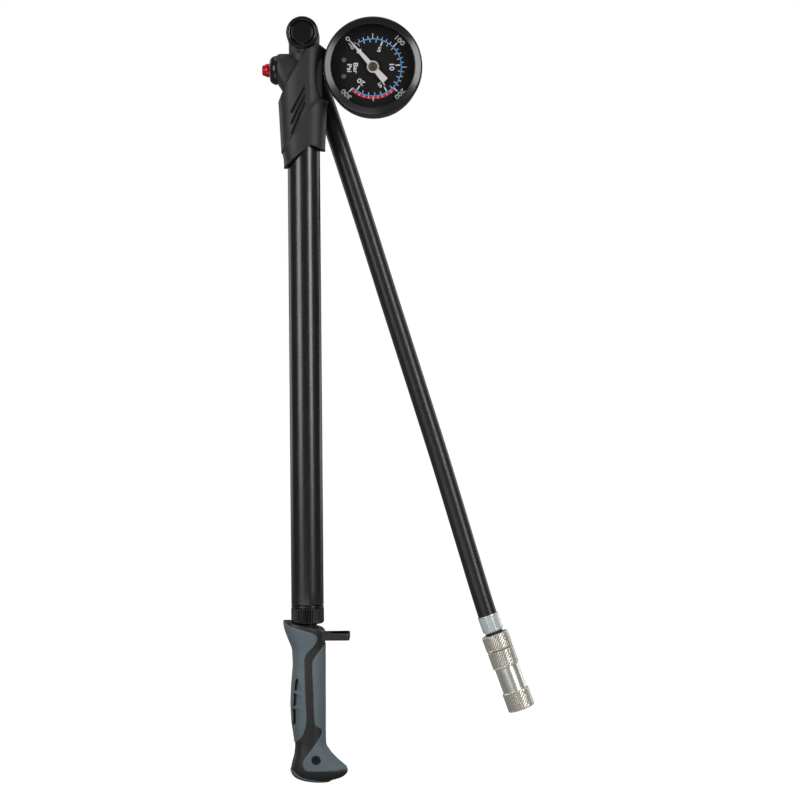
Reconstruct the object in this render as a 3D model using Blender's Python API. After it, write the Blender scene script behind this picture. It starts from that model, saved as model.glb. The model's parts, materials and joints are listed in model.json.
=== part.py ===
"""Hand pump for air shocks and suspension forks: handle and rod below, barrel, head and gauge above, hose behind.

The model stands upright, +Z along the barrel, head up. Outlines and profiles are in millimetres, with their
heights counted from the bottom of the handle, and the pump_base empty carries them to the origin, which is
the middle of the grip on the barrel's axis. The dial faces -Y and the hose hangs in a plane behind the pump.
"""

import math

import bmesh
import bpy
from mathutils import Matrix, Vector

MM = 0.001
GAP = 0.3  # clearance between pieces that touch in the real pump
MERGE = 0.000002  # metres within which a cut's points are one point
TWIST = 0.07  # radians that a cutting cylinder is turned about its own axis

# Heights along the pump's axis
GRIP_MIDDLE = 36.0
COLLAR_BOTTOM = 69.2
BARREL_BOTTOM = 76.0
BARREL_TOP = 286.0
HEAD_SOCKET_BOTTOM = 277.0
VALVE_AXIS = 307.6
GAUGE_HEIGHT = 307.5
SWIVEL_HEIGHT = 322.95

# Radii
BARREL_OUTER = 7.0
BARREL_BORE = 5.8
ROD_RADIUS = 4.0
HOSE_RADIUS = 4.1

# Places across the axis
GAUGE_OFFSET = 30.3
HOSE_PLANE = 14.8
HEAD_BACK = 9.3
SWIVEL_BOLT_RADIUS = 3.0
SWIVEL_GROOVES = (12.2, 17.4)

# The chuck's ferrule top and the lean of its axis; the hose runs from the swivel to there
CHUCK_X = 78.5
CHUCK_Z = 69.7
CHUCK_LEAN = math.radians(19.6)
HOSE_ROUTE = [
    (5.5, 305.5),
    (14.5, 278.5),
    (25.7, 243.3),
    (36.5, 208.2),
    (47.4, 173.1),
    (58.2, 138.1),
    (68.5, 103.1),
    (75.5, 79.3),
]
HOSE_LEAN = math.atan2(CHUCK_X, SWIVEL_HEIGHT - CHUCK_Z)

# Gauge movement: a pinion on the pointer's shaft, driven by a toothed sector
GEAR_MODULE = 0.3
PINION_TEETH = 8
SECTOR_RATIO = 265.0 / 30.0
PINION_PITCH_RADIUS = GEAR_MODULE * PINION_TEETH / 2
SECTOR_PITCH_RADIUS = PINION_PITCH_RADIUS * SECTOR_RATIO
SECTOR_DIRECTION = math.radians(-50.0)
POINTER_ZERO = math.radians(131.0)

# Handle cross-sections: height at the left, height at the right, left edge, right edge, half depth
HANDLE_SECTIONS = [
    (0.0, 0.0, 1.5, 8.5, 3.0),
    (0.8, 0.8, -2.8, 10.7, 5.6),
    (1.9, 1.9, -5.8, 14.0, 7.2),
    (3.2, 3.2, -7.2, 15.7, 7.9),
    (5.0, 5.0, -8.0, 16.5, 8.2),
    (6.6, 6.4, -8.0, 15.8, 8.2),
    (9.4, 9.4, -7.4, 13.0, 8.0),
    (12.4, 12.4, -6.5, 10.0, 7.7),
    (16.0, 16.0, -6.1, 7.6, 7.3),
    (20.0, 20.0, -6.5, 7.5, 7.3),
    (25.9, 25.9, -7.4, 7.5, 7.6),
    (34.2, 34.2, -7.8, 7.6, 7.8),
    (42.4, 42.4, -7.4, 7.6, 7.7),
    (50.7, 50.7, -6.6, 7.7, 7.4),
    (57.9, 57.4, -6.9, 7.7, 7.6),
    (62.6, 60.4, -8.8, 7.8, 8.4),
    (66.3, 62.6, -10.0, 7.9, 9.2),
    (69.0, 64.2, -10.3, 7.9, 9.5),
    (69.6, 64.9, -10.1, 7.4, 9.2),
]
PAD_LEFT = [
    (-14.0, 68.0),
    (-2.5, 64.6),
    (2.4, 63.4),
    (3.9, 61.7),
    (2.6, 57.9),
    (-0.4, 54.6),
    (-1.3, 51.5),
    (-1.1, 39.7),
    (-0.6, 31.4),
    (-0.8, 25.9),
    (-2.1, 21.5),
    (-3.8, 19.0),
    (-6.1, 17.3),
    (-14.0, 14.0),
]
PAD_RIGHT = [
    (14.0, 59.0),
    (7.7, 58.1),
    (1.7, 52.9),
    (1.3, 51.2),
    (1.9, 39.7),
    (2.3, 25.9),
    (3.3, 23.7),
    (5.3, 22.0),
    (5.2, 19.8),
    (1.4, 14.9),
    (-2.4, 9.4),
    (-2.8, 6.6),
    (-1.7, 4.4),
    (-0.3, 3.9),
    (10.7, 4.1),
    (22.0, 5.6),
]
PAD_BASE = [
    (-14.0, 9.4),
    (-7.9, 7.2),
    (-4.7, 4.5),
    (-2.3, 3.0),
    (4.2, 1.9),
    (9.2, 1.5),
    (22.0, 0.3),
    (22.0, -5.0),
    (-14.0, -5.0),
]
PAD_THICKNESS = 1.5
HANDLE_SCREW_X = 3.2
HANDLE_SCREW_Z = 9.4
FORK_REACH = 18.2
FORK_BOTTOM = 61.5
FORK_TOP = 64.6

# Head cover cross-sections, as the handle's, and its front outline
COVER_SECTIONS = [
    (262.0, 262.0, -8.6, 9.3, 8.7),
    (268.0, 268.0, -8.8, 9.4, 8.8),
    (272.5, 272.5, -9.9, 9.5, 9.0),
    (293.4, 292.3, -10.8, 10.6, 9.3),
    (295.0, 294.0, -10.9, 11.2, 9.3),
    (300.0, 300.0, -10.9, 10.2, 9.3),
    (306.0, 306.0, -10.9, 9.7, 9.2),
    (316.0, 316.0, -9.6, 9.7, 8.6),
    (319.5, 319.5, -7.0, 8.6, 7.6),
    (321.5, 321.5, -4.0, 6.4, 6.0),
]
COVER_OUTLINE = [
    (-8.6, 265.2),
    (3.3, 274.2),
    (14.0, 271.2),
    (14.0, 324.0),
    (6.6, 321.3),
    (0.6, 313.8),
    (-8.6, 297.9),
    (-10.9, 293.2),
    (-14.0, 280.0),
    (-14.0, 265.0),
]

COVER_SCREWS = [(5.4, 299.6), (-5.6, 293.0)]
VENT_COUNT = 3
VENT_WIDTH = 1.9

# Surface of each kind of piece: colour, roughness, metalness
COLOURS = {
    "core_black": ((0.028, 0.028, 0.03), 0.5, 0.0),
    "grip_grey": ((0.11, 0.155, 0.18), 0.6, 0.0),
    "steel": ((0.5, 0.5, 0.52), 0.3, 1.0),
    "black_metal": ((0.012, 0.012, 0.013), 0.35, 1.0),
    "rubber": ((0.015, 0.015, 0.015), 0.7, 0.0),
    "acetal": ((0.75, 0.73, 0.68), 0.5, 0.0),
    "head_black": ((0.02, 0.02, 0.022), 0.5, 0.0),
    "red_anodised": ((0.6, 0.01, 0.02), 0.3, 1.0),
    "brass": ((0.6, 0.42, 0.15), 0.35, 1.0),
    "dial_black": ((0.01, 0.01, 0.01), 0.6, 0.0),
    "pointer_white": ((0.8, 0.8, 0.8), 0.5, 0.0),
    "clear": ((0.9, 0.92, 0.93), 0.05, 0.0),
    "hose_black": ((0.014, 0.014, 0.015), 0.45, 0.0),
    "zinc": ((0.68, 0.7, 0.73), 0.3, 1.0),
    "nickel": ((0.62, 0.58, 0.52), 0.3, 1.0),
}


# ---------------------------------------------------------------------------------------------- helpers
def clear_scene():
    for old in list(bpy.data.objects):
        bpy.data.objects.remove(old)


def make_material(name, slot):
    colour, roughness, metallic = COLOURS[slot]
    material = bpy.data.materials.new(name)
    material.use_nodes = True
    shader = material.node_tree.nodes["Principled BSDF"]
    shader.inputs["Base Color"].default_value = (*colour, 1.0)
    shader.inputs["Roughness"].default_value = roughness
    shader.inputs["Metallic"].default_value = metallic
    if slot == "clear":
        shader.inputs["Alpha"].default_value = 0.35
    material.diffuse_color = (*colour, 1.0)
    return material


def make_empty(name, parent=None, location=(0, 0, 0), rotation=(0, 0, 0)):
    """A frame that pieces hang from; location is in metres, inside the parent's frame."""
    empty = bpy.data.objects.new(name, None)
    bpy.context.scene.collection.objects.link(empty)
    empty.parent = parent
    empty.location = location
    empty.rotation_euler = rotation
    return empty


def mesh_object(name, points, faces):
    """An object from points in millimetres and their faces, with its faces turned outwards."""
    mesh = bpy.data.meshes.new(name)
    mesh.from_pydata([Vector(p) * MM for p in points], [], faces)
    shell = bmesh.new()
    shell.from_mesh(mesh)
    bmesh.ops.recalc_face_normals(shell, faces=shell.faces)
    shell.to_mesh(mesh)
    shell.free()
    piece = bpy.data.objects.new(name, mesh)
    bpy.context.scene.collection.objects.link(piece)
    return piece


def turned(name, profile, segments=20):
    """Turns a closed profile of (radius, height) points about Z."""
    points = []
    rings = []
    for radius, height in profile:
        if radius < 1e-6:
            rings.append([len(points)] * segments)
            points.append((0.0, 0.0, height))
            continue
        rings.append(list(range(len(points), len(points) + segments)))
        for step in range(segments):
            angle = 2 * math.pi * step / segments
            points.append((radius * math.cos(angle), radius * math.sin(angle), height))
    faces = []
    for ring, following in zip(rings, rings[1:] + rings[:1]):
        for step in range(segments):
            after = (step + 1) % segments
            corners = [ring[step], ring[after], following[after], following[step]]
            unique = list(dict.fromkeys(corners))
            if len(unique) > 2:
                faces.append(unique)
    return mesh_object(name, points, faces)


def ring_piece(name, inner, outer, bottom, top, segments=18):
    """A plain washer or bush."""
    return turned(name, [(inner, bottom), (outer, bottom), (outer, top), (inner, top)], segments)


def rod_piece(name, radius, bottom, top, segments=18):
    """A plain cylinder along Z."""
    return turned(name, [(0, bottom), (radius, bottom), (radius, top), (0, top)], segments)


def o_ring(name, middle_radius, height, thickness, segments=16, sides=6):
    """A ring of round section."""
    profile = []
    for step in range(sides):
        angle = 2 * math.pi * step / sides
        radius = middle_radius + thickness / 2 * math.cos(angle)
        profile.append((radius, height + thickness / 2 * math.sin(angle)))
    return turned(name, profile, segments)


def prism(name, outline, low, high, axis="Y"):
    """An outline drawn in the plane across axis, run from low to high along it."""
    count = len(outline)
    points = []
    for along in (low, high):
        for first, second in outline:
            place = {"X": (along, first, second), "Y": (first, along, second), "Z": (first, second, along)}
            points.append(place[axis])
    faces = [list(range(count)), list(range(count, 2 * count))]
    for step in range(count):
        after = (step + 1) % count
        faces.append([step, after, count + after, count + step])
    return mesh_object(name, points, faces)


def oval_loft(name, sections, segments=22, shrink=0.0, fullness=2.4):
    """A body through oval cross-sections, each closed by its neighbours and capped at both ends."""
    points = []
    for left_height, right_height, left, right, depth in sections:
        middle = (left + right) / 2
        half_width = max((right - left) / 2 - shrink, 0.3)
        half_depth = max(depth - shrink, 0.3)
        for step in range(segments):
            angle = 2 * math.pi * step / segments
            across = math.copysign(abs(math.cos(angle)) ** (2 / fullness), math.cos(angle))
            inward = math.copysign(abs(math.sin(angle)) ** (2 / fullness), math.sin(angle))
            share = (1 + across) / 2
            height = left_height + (right_height - left_height) * share
            points.append((middle + half_width * across, half_depth * inward, height))
    faces = [list(range(segments))]
    last = len(points) - segments
    faces.append(list(range(last, last + segments)))
    for ring in range(len(sections) - 1):
        for step in range(segments):
            after = (step + 1) % segments
            low = ring * segments
            high = low + segments
            faces.append([low + step, low + after, high + after, high + step])
    return mesh_object(name, points, faces)


def grow_outline(outline, distance):
    """The outline moved outwards by a distance, with mitred corners."""
    area = 0.0
    for (ax, ay), (bx, by) in zip(outline, outline[1:] + outline[:1]):
        area += ax * by - bx * ay
    turn = 1.0 if area > 0 else -1.0
    grown = []
    for before, here, after in zip(outline[-1:] + outline[:-1], outline, outline[1:] + outline[:1]):
        first = (Vector(here) - Vector(before)).normalized()
        second = (Vector(after) - Vector(here)).normalized()
        normal_a = Vector((first.y, -first.x)) * turn
        normal_b = Vector((second.y, -second.x)) * turn
        mitre = (normal_a + normal_b) / max(1.0 + normal_a.dot(normal_b), 0.2)
        grown.append(tuple(Vector(here) + mitre * distance))
    return grown


def combine(base, tool, operation):
    """Joins, cuts or intersects base with tool, keeps the result as base and removes tool."""
    modifier = base.modifiers.new("combine", "BOOLEAN")
    modifier.operation = operation
    modifier.solver = "EXACT"
    modifier.object = tool
    bpy.context.view_layer.update()
    evaluated = base.evaluated_get(bpy.context.evaluated_depsgraph_get())
    result = bpy.data.meshes.new_from_object(evaluated)
    tidy = bmesh.new()
    tidy.from_mesh(result)
    bmesh.ops.remove_doubles(tidy, verts=tidy.verts, dist=MERGE)
    bmesh.ops.dissolve_degenerate(tidy, edges=tidy.edges, dist=MERGE)
    bmesh.ops.triangulate(tidy, faces=[f for f in tidy.faces if len(f.verts) > 4])
    tidy.to_mesh(result)
    tidy.free()
    base.modifiers.clear()
    base.data = result
    bpy.data.objects.remove(tool)
    return base


def cut(base, *tools):
    for tool in tools:
        combine(base, tool, "DIFFERENCE")
    return base


def join(base, *tools):
    for tool in tools:
        combine(base, tool, "UNION")
    return base


def keep_common(base, tool):
    return combine(base, tool, "INTERSECT")


def turn_to(piece, axis, place):
    """Lays a piece made along Z along X or Y and moves it to a place in millimetres."""
    turns = {"X": Matrix.Rotation(math.pi / 2, 4, "Y"), "Y": Matrix.Rotation(-math.pi / 2, 4, "X")}
    piece.data.transform(Matrix.Translation(Vector(place) * MM) @ turns[axis])
    return piece


def bore(radius, low, high, across=(0, 0), segments=16):
    """A cylinder along Z at a place across it, twisted so that its edges lie on no other piece's edges."""
    piece = rod_piece("bore", radius, low, high, segments)
    place = Vector((*across, 0)) * MM
    piece.data.transform(Matrix.Translation(place) @ Matrix.Rotation(TWIST, 4, "Z"))
    return piece


def bar(axis, radius, low, high, across, segments=16):
    """The same along X or Y; across is its place in the other two directions."""
    place = {"X": (0, across[0], across[1]), "Y": (across[0], 0, across[1])}[axis]
    return turn_to(bore(radius, low, high, (0, 0), segments), axis, place)


def finish_piece(piece, slot, parent, name=None):
    """Gives the piece its name, its own material, its parent and smooth shading with sharp edges."""
    if name:
        piece.name = name
    piece.data.name = piece.name
    piece.data.materials.clear()
    piece.data.materials.append(make_material(piece.name, slot))
    piece.parent = parent
    piece.data.shade_smooth()
    piece.data.set_sharp_from_angle(angle=math.radians(35))
    return piece


def coil(name, radius, wire, low, high, turns, steps=8, sides=4):
    """A compression spring along Z: a wire wound on a helix, capped at both ends."""
    points = []
    count = turns * steps + 1
    for step in range(count):
        angle = 2 * math.pi * step / steps
        height = low + wire + (high - low - 2 * wire) * step / (count - 1)
        out = Vector((math.cos(angle), math.sin(angle), 0))
        centre = out * radius + Vector((0, 0, height))
        for side in range(sides):
            around = 2 * math.pi * side / sides
            points.append(centre + out * wire * math.cos(around) + Vector((0, 0, wire * math.sin(around))))
    faces = [list(range(sides)), list(range(len(points) - sides, len(points)))]
    for step in range(count - 1):
        for side in range(sides):
            after = (side + 1) % sides
            low_ring = step * sides
            high_ring = low_ring + sides
            faces.append([low_ring + side, low_ring + after, high_ring + after, high_ring + side])
    return mesh_object(name, points, faces)


# ---------------------------------------------------------------------------------------------- handle
def handle_outer():
    return oval_loft("handle_outer", HANDLE_SECTIONS)


def handle_inner(shrink):
    """The handle's body under its soft pads, without the lowest and highest cross-sections."""
    return oval_loft("handle_inner", HANDLE_SECTIONS[4:-1], shrink=shrink)


def fork_plate():
    """The hose clip: a plate with a slot that opens away from the pump's axis."""
    slot_radius = HOSE_RADIUS + 0.2
    outer_half = slot_radius + 1.9
    outline = [(2.0, -outer_half + 0.8), (FORK_REACH - 1.2, -outer_half), (FORK_REACH, -outer_half + 0.9)]
    outline.append((FORK_REACH, -slot_radius))
    for step in range(9):
        angle = -math.pi / 2 - math.pi * step / 8
        outline.append((HOSE_PLANE + slot_radius * math.cos(angle), slot_radius * math.sin(angle)))
    outline.append((FORK_REACH, slot_radius))
    outline += [(FORK_REACH, outer_half - 0.9), (FORK_REACH - 1.2, outer_half), (2.0, outer_half - 0.8)]
    return prism("fork", outline, FORK_BOTTOM, FORK_TOP, "Z")


def handle_screw_hole(radius, low, high):
    return bar("Y", radius, low, high, (HANDLE_SCREW_X, HANDLE_SCREW_Z), 12)


def make_handle(base):
    core = handle_outer()
    for outline in (PAD_LEFT, PAD_RIGHT, PAD_BASE):
        cut(core, prism("pad_space", grow_outline(outline, GAP), -15, 15))
    middle = handle_inner(PAD_THICKNESS + GAP)
    cut(middle, prism("base_space", grow_outline(PAD_BASE, GAP), -15, 15))
    join(core, middle, fork_plate())
    cut(core, bore(ROD_RADIUS + GAP, 26.0, 80.0), handle_screw_hole(1.5, -10, 4))
    finish_piece(core, "core_black", base, "handle_core")

    for name, outline in (("grip_pad_left", PAD_LEFT), ("grip_pad_right", PAD_RIGHT)):
        pad = handle_outer()
        keep_common(pad, prism("pad_area", outline, -15, 15))
        cut(pad, handle_inner(PAD_THICKNESS))
        if name == "grip_pad_right":
            cut(pad, prism("foot_space", [(-6, 6.3), (14, 6.3), (14, 0), (-6, 0)], -5.9, 5.9))
            cut(pad, handle_screw_hole(2.2, -10, 0))
        finish_piece(pad, "grip_grey", base, name)

    base_pad = keep_common(handle_outer(), prism("base_area", PAD_BASE, -15, 15))
    finish_piece(base_pad, "grip_grey", base, "grip_base_pad")

    screw = [(0, -7.9), (1.8, -7.9), (1.8, -6.6), (1.15, -6.6), (1.15, 3.4), (0, 3.4)]
    screw = turn_to(turned("handle_screw", screw, 16), "Y", (HANDLE_SCREW_X, 0, HANDLE_SCREW_Z))
    finish_piece(screw, "black_metal", base)


def make_rod(base):
    """Piston rod, fixed in the handle, with the piston and its seal on the top end."""
    shoulder = 276.0
    profile = [(0, 26.5), (ROD_RADIUS, 26.5), (ROD_RADIUS, shoulder), (1.9, shoulder)]
    profile += [(1.9, 284.3), (0, 284.3)]
    finish_piece(turned("piston_rod", profile), "black_metal", base)
    piston = [(2.2, shoulder + GAP), (5.4, shoulder + GAP), (5.4, 278.0), (3.9, 278.0), (3.9, 280.2)]
    piston += [(5.4, 280.2), (5.4, 282.0), (2.2, 282.0)]
    finish_piece(turned("piston", piston), "acetal", base)
    finish_piece(o_ring("piston_oring", 4.85, 279.1, 1.3), "rubber", base)
    finish_piece(ring_piece("piston_nut", 2.2, 3.9, 282.3, 284.0, 6), "steel", base)
    finish_piece(ring_piece("top_out_bumper", 4.3, 5.3, 272.5, 275.7), "rubber", base)


def make_guide(guide):
    """Bush and wiper that slide on the rod at the barrel's lower end."""
    finish_piece(ring_piece("rod_bush", 4.3, 5.5, 80.3, 87.0), "acetal", guide)
    wiper = [(4.3, 70.5), (5.1, 70.5), (5.1, 72.5), (4.7, 72.5), (4.3, 71.7)]
    finish_piece(turned("rod_wiper", wiper, 16), "rubber", guide)


# ---------------------------------------------------------------------------------------------- barrel
def make_barrel(base):
    tube = ring_piece("barrel_tube", BARREL_BORE, BARREL_OUTER, BARREL_BOTTOM, BARREL_TOP, 28)
    finish_piece(tube, "black_metal", base)
    collar_top = BARREL_BOTTOM - GAP
    collar = [(4.4, COLLAR_BOTTOM), (6.5, COLLAR_BOTTOM), (BARREL_OUTER, COLLAR_BOTTOM + 0.5)]
    collar += [(BARREL_OUTER, collar_top), (5.5, collar_top), (5.5, 80.0), (4.4, 80.0)]
    collar += [(4.4, 72.8), (5.4, 72.8), (5.4, 70.2), (4.4, 70.2)]
    finish_piece(turned("gland_collar", collar, 28), "black_metal", base)
    finish_piece(ring_piece("barrel_seal", 6.0, 6.8, BARREL_TOP + GAP, BARREL_TOP + 1.2), "rubber", base)


# ---------------------------------------------------------------------------------------------- head
def head_block(grow):
    """The moulded head's solid, or the room it needs when grow is the clearance."""
    block = rod_piece("head_block", 8.3 + grow, HEAD_SOCKET_BOTTOM - grow, 291.0, 24)
    upper = [
        (289.0, 289.0, -8.0, 8.0, 7.0),
        (296.5, 296.5, -8.0, 8.6, 7.0),
        (301.5, 301.5, -8.6, 8.7, 7.0),
        (312.5, 312.5, -8.6, 8.7, 7.0),
        (314.3, 314.3, -7.6, 7.8, 6.4),
    ]
    join(block, oval_loft("upper", upper, shrink=-grow, fullness=3.5))
    join(block, bar("X", 6.7 + grow, -11.0, -1.0, (0, VALVE_AXIS), 24))
    join(block, bore(5.8 + grow, 308.0, 319.0))
    join(block, bar("Y", 7.15 + grow, -7.0 - grow, HEAD_BACK, (0, SWIVEL_HEIGHT), 28))
    return block


def make_head_body(base):
    head = head_block(0.0)
    seat_top = BARREL_TOP + 1.5
    cut(head, bore(BARREL_OUTER + GAP, 270.0, seat_top, segments=24), bore(3.2, seat_top - 1.0, 297.3))
    cut(head, bar("Y", 5.2, -9.0, -5.5, (0, SWIVEL_HEIGHT)))
    cut(head, bar("Y", SWIVEL_BOLT_RADIUS + GAP, -8.0, 12.0, (0, SWIVEL_HEIGHT)))
    cut(head, bar("X", 2.6, -16.0, -4.0, (0, VALVE_AXIS)), bar("X", 3.3, 2.5, 16.0, (0, GAUGE_HEIGHT)))
    cut(head, bar("X", 1.0, -5.0, 3.3, (0, VALVE_AXIS), 12), bore(1.3, 296.0, 321.6, segments=12))
    for across, height in COVER_SCREWS:
        cut(head, bar("Y", 1.3, 2.7, 9.0, (across, height), 12))
    finish_piece(head, "head_black", base, "head_body")


def make_head_cover(base):
    """Two moulded shells around the head, parted on the plane of the gauge stem, with three vents in front."""
    for name, low, high in (("head_cover_front", -14, -GAP / 2), ("head_cover_rear", GAP / 2, 14)):
        cover = oval_loft(name, COVER_SECTIONS, segments=24, fullness=2.5)
        keep_common(cover, prism("outline", COVER_OUTLINE, low, high))
        cut(cover, head_block(GAP), bore(BARREL_OUTER + GAP, 250.0, 284.0, segments=24))
        cut(cover, bar("X", 3.6, 4.0, 16.0, (0, GAUGE_HEIGHT)))
        if name == "head_cover_rear":
            for across, height in COVER_SCREWS:
                cut(cover, bar("Y", 2.0, 7.75, 12.0, (across, height), 16))
                cut(cover, bar("Y", 1.3, 5.0, 8.0, (across, height), 12))
        else:
            for step in range(VENT_COUNT):
                cut(cover, vent_slot(step))
        finish_piece(cover, "head_black", base)
    for number, (across, height) in enumerate(COVER_SCREWS, 1):
        screw = [(0, 3.0), (1.0, 3.0), (1.0, 8.05), (1.7, 8.05), (1.7, 8.8), (0, 8.8)]
        screw = turn_to(turned(f"cover_screw_{number}", screw, 12), "Y", (across, 0, height))
        finish_piece(screw, "steel", base)


def vent_slot(step):
    """One of the three slanted vents, each a step lower and to the left of the one above."""
    low_left = Vector((-5.3, 288.3 - 4.6 * step))
    high_right = Vector((0.8, 299.6 - 3.3 * step))
    down = Vector((0, -VENT_WIDTH))
    outline = [low_left, high_right, high_right + down, low_left + down]
    return prism("vent", [tuple(p) for p in outline], -12, -8.4)


def make_check_valve(base, poppet_frame):
    seat = [(0.9, 287.8), (2.9, 287.8), (2.9, 289.4), (1.3, 289.4), (0.9, 288.9)]
    finish_piece(turned("check_seat", seat, 16), "brass", base)
    poppet = [(0, 289.7), (1.6, 289.7), (2.3, 290.4), (2.3, 292.0), (0.9, 292.0), (0.9, 294.0), (0, 294.0)]
    finish_piece(turned("check_poppet", poppet, 16), "acetal", poppet_frame)
    finish_piece(coil("check_spring", 1.9, 0.25, 292.3, 297.0, 4), "steel", base)


def make_bleed_valve(base, button_frame):
    """Side valve: a cap on the head's boss, and the red button whose stem runs through it."""
    cap = [(3.2, -14.3), (4.4, -14.3), (5.6, -13.4), (6.2, -11.9), (6.2, -11.3), (3.2, -11.3)]
    finish_piece(turn_to(turned("bleed_cap", cap), "X", (0, 0, VALVE_AXIS)), "black_metal", base)
    button = [(0, -17.6), (1.6, -17.6), (2.0, -17.3), (2.9, -15.2), (2.9, -13.2), (1.1, -13.2)]
    button += [(1.1, -6.4), (0, -6.4)]
    button = turn_to(turned("bleed_button", button, 18), "X", (0, 0, VALVE_AXIS))
    finish_piece(button, "red_anodised", button_frame)
    seal = turn_to(o_ring("bleed_seal", 1.85, -7.4, 0.9), "X", (0, 0, VALVE_AXIS))
    finish_piece(seal, "rubber", button_frame)
    spring = turn_to(coil("bleed_spring", 1.85, 0.25, -10.4, -8.2, 3), "X", (0, 0, VALVE_AXIS))
    finish_piece(spring, "steel", base)


# ---------------------------------------------------------------------------------------------- swivel
def make_swivel_bolt(base):
    """Hollow bolt through the head's ring, on which the hose's eye turns."""
    radius = SWIVEL_BOLT_RADIUS
    profile = [(0, -6.9), (4.6, -6.9), (4.9, -6.6), (4.9, -5.8), (radius, -5.8)]
    for groove in SWIVEL_GROOVES:
        profile += [(radius, groove - 0.7), (2.0, groove - 0.7), (2.0, groove + 0.7), (radius, groove + 0.7)]
    profile += [(radius, 21.0), (1.0, 21.0), (1.0, -3.0), (0, -3.0)]
    bolt = turn_to(turned("swivel_bolt", profile), "Y", (0, 0, SWIVEL_HEIGHT))
    finish_piece(bolt, "black_metal", base)
    for name, place in zip(("swivel_oring_front", "swivel_oring_rear"), SWIVEL_GROOVES):
        seal = turn_to(o_ring(name, 2.65, place, 0.7), "Y", (0, 0, SWIVEL_HEIGHT))
        finish_piece(seal, "rubber", base)
    nut = [(3.3, 19.2), (5.4, 19.2), (5.4, 21.5), (4.6, 22.3), (0, 22.3), (0, 21.4), (3.3, 21.4)]
    nut = turn_to(turned("swivel_nut", nut, 20), "Y", (0, 0, SWIVEL_HEIGHT))
    finish_piece(nut, "black_metal", base)


def make_swivel_eye(hose_frame):
    """The hose's upper end, in the hose frame: origin on the swivel's axis, -Z down the hose."""
    eye = turn_to(ring_piece("swivel_eye", 3.3, 6.6, -4.0, 4.0, 24), "Y", (0, 0, 0))
    join(eye, bore(3.9, -9.0, -5.5))
    cut(eye, bore(1.3, -12.0, -2.0, segments=12))
    finish_piece(eye, "black_metal", hose_frame)
    ferrule = [(1.3, -17.8), (4.55, -17.8), (4.55, -9.9), (4.2, -9.3), (1.3, -9.3)]
    finish_piece(turned("hose_ferrule_upper", ferrule, 18), "zinc", hose_frame)


# ---------------------------------------------------------------------------------------------- hose
def smooth_route(points, spacing):
    """Points about a spacing apart on a Catmull-Rom curve through the given ones."""
    padded = [points[0] * 2 - points[1], *points, points[-1] * 2 - points[-2]]
    route = []
    for a, b, c, d in zip(padded, padded[1:], padded[2:], padded[3:]):
        pieces = max(1, round((c - b).length / spacing))
        for step in range(pieces):
            t = step / pieces
            route.append(
                0.5 * (2 * b + (c - a) * t + (2 * a - 5 * b + 4 * c - d) * t**2 + (3 * b - a - 3 * c + d) * t**3)
            )
    return route + [points[-1]]


def make_hose(parent):
    """The pressure hose, from its upper ferrule to the chuck's, in one plane behind the pump."""
    down = Vector((math.sin(CHUCK_LEAN), 0, -math.cos(CHUCK_LEAN)))
    end = Vector((CHUCK_X, HOSE_PLANE, CHUCK_Z)) - down * GAP
    points = [Vector((x, HOSE_PLANE, z)) for x, z in HOSE_ROUTE] + [end]
    curve = bpy.data.curves.new("hose", "CURVE")
    curve.dimensions = "3D"
    curve.bevel_depth = HOSE_RADIUS * MM
    curve.bevel_resolution = 2
    curve.use_fill_caps = True
    route = smooth_route(points, 12.0)
    spline = curve.splines.new("POLY")
    spline.points.add(len(route) - 1)
    for point, place in zip(spline.points, route):
        point.co = (*(place * MM), 1.0)
    curve.materials.append(make_material("hose", "hose_black"))
    hose = bpy.data.objects.new("hose", curve)
    bpy.context.scene.collection.objects.link(hose)
    hose.parent = parent


# ---------------------------------------------------------------------------------------------- chuck
def make_chuck(stem_frame, knob_frame, pin_frame, sleeve_frame):
    """Valve end of the hose: origin at the ferrule's top, -Z out of the mouth."""
    ferrule = [(2.6, -7.3), (4.0, -7.3), (4.4, -6.8), (4.4, 0), (0, 0), (0, -1.2), (2.6, -1.2)]
    finish_piece(turned("hose_ferrule_lower", ferrule, 18), "zinc", stem_frame)
    stem = [(1.2, -25.8), (3.9, -25.8), (3.9, -23.4), (3.0, -23.4), (3.0, -8.4), (2.3, -8.4)]
    stem += [(2.3, -1.6), (1.2, -1.6)]
    finish_piece(turned("chuck_stem", stem, 16), "brass", stem_frame)
    finish_piece(ring_piece("chuck_washer", 2.6, 3.7, -8.1, -7.6), "rubber", stem_frame)
    knob = [(3.3, -15.35), (5.7, -15.35), (6.0, -15.0), (6.0, -8.8), (5.6, -8.4), (3.3, -8.4)]
    finish_piece(turned("valve_knob", knob, 24), "nickel", knob_frame)
    pin = [(0, -31.9), (0.8, -31.9), (0.8, -12.4), (0, -12.4)]
    finish_piece(turned("depressor_pin", pin, 12), "brass", pin_frame)
    sleeve = [(3.85, -43.3), (5.4, -43.3), (5.8, -42.9), (5.8, -34.9), (5.35, -34.7), (5.35, -23.5)]
    sleeve += [(5.65, -23.3), (5.65, -16.0), (5.3, -15.65), (3.3, -15.65), (3.3, -23.1), (4.3, -23.1)]
    sleeve += [(4.3, -29.5), (3.85, -29.5)]
    finish_piece(turned("valve_sleeve", sleeve, 24), "nickel", sleeve_frame)
    finish_piece(ring_piece("valve_gasket", 1.7, 3.9, -29.0, -27.2), "rubber", sleeve_frame)


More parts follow.
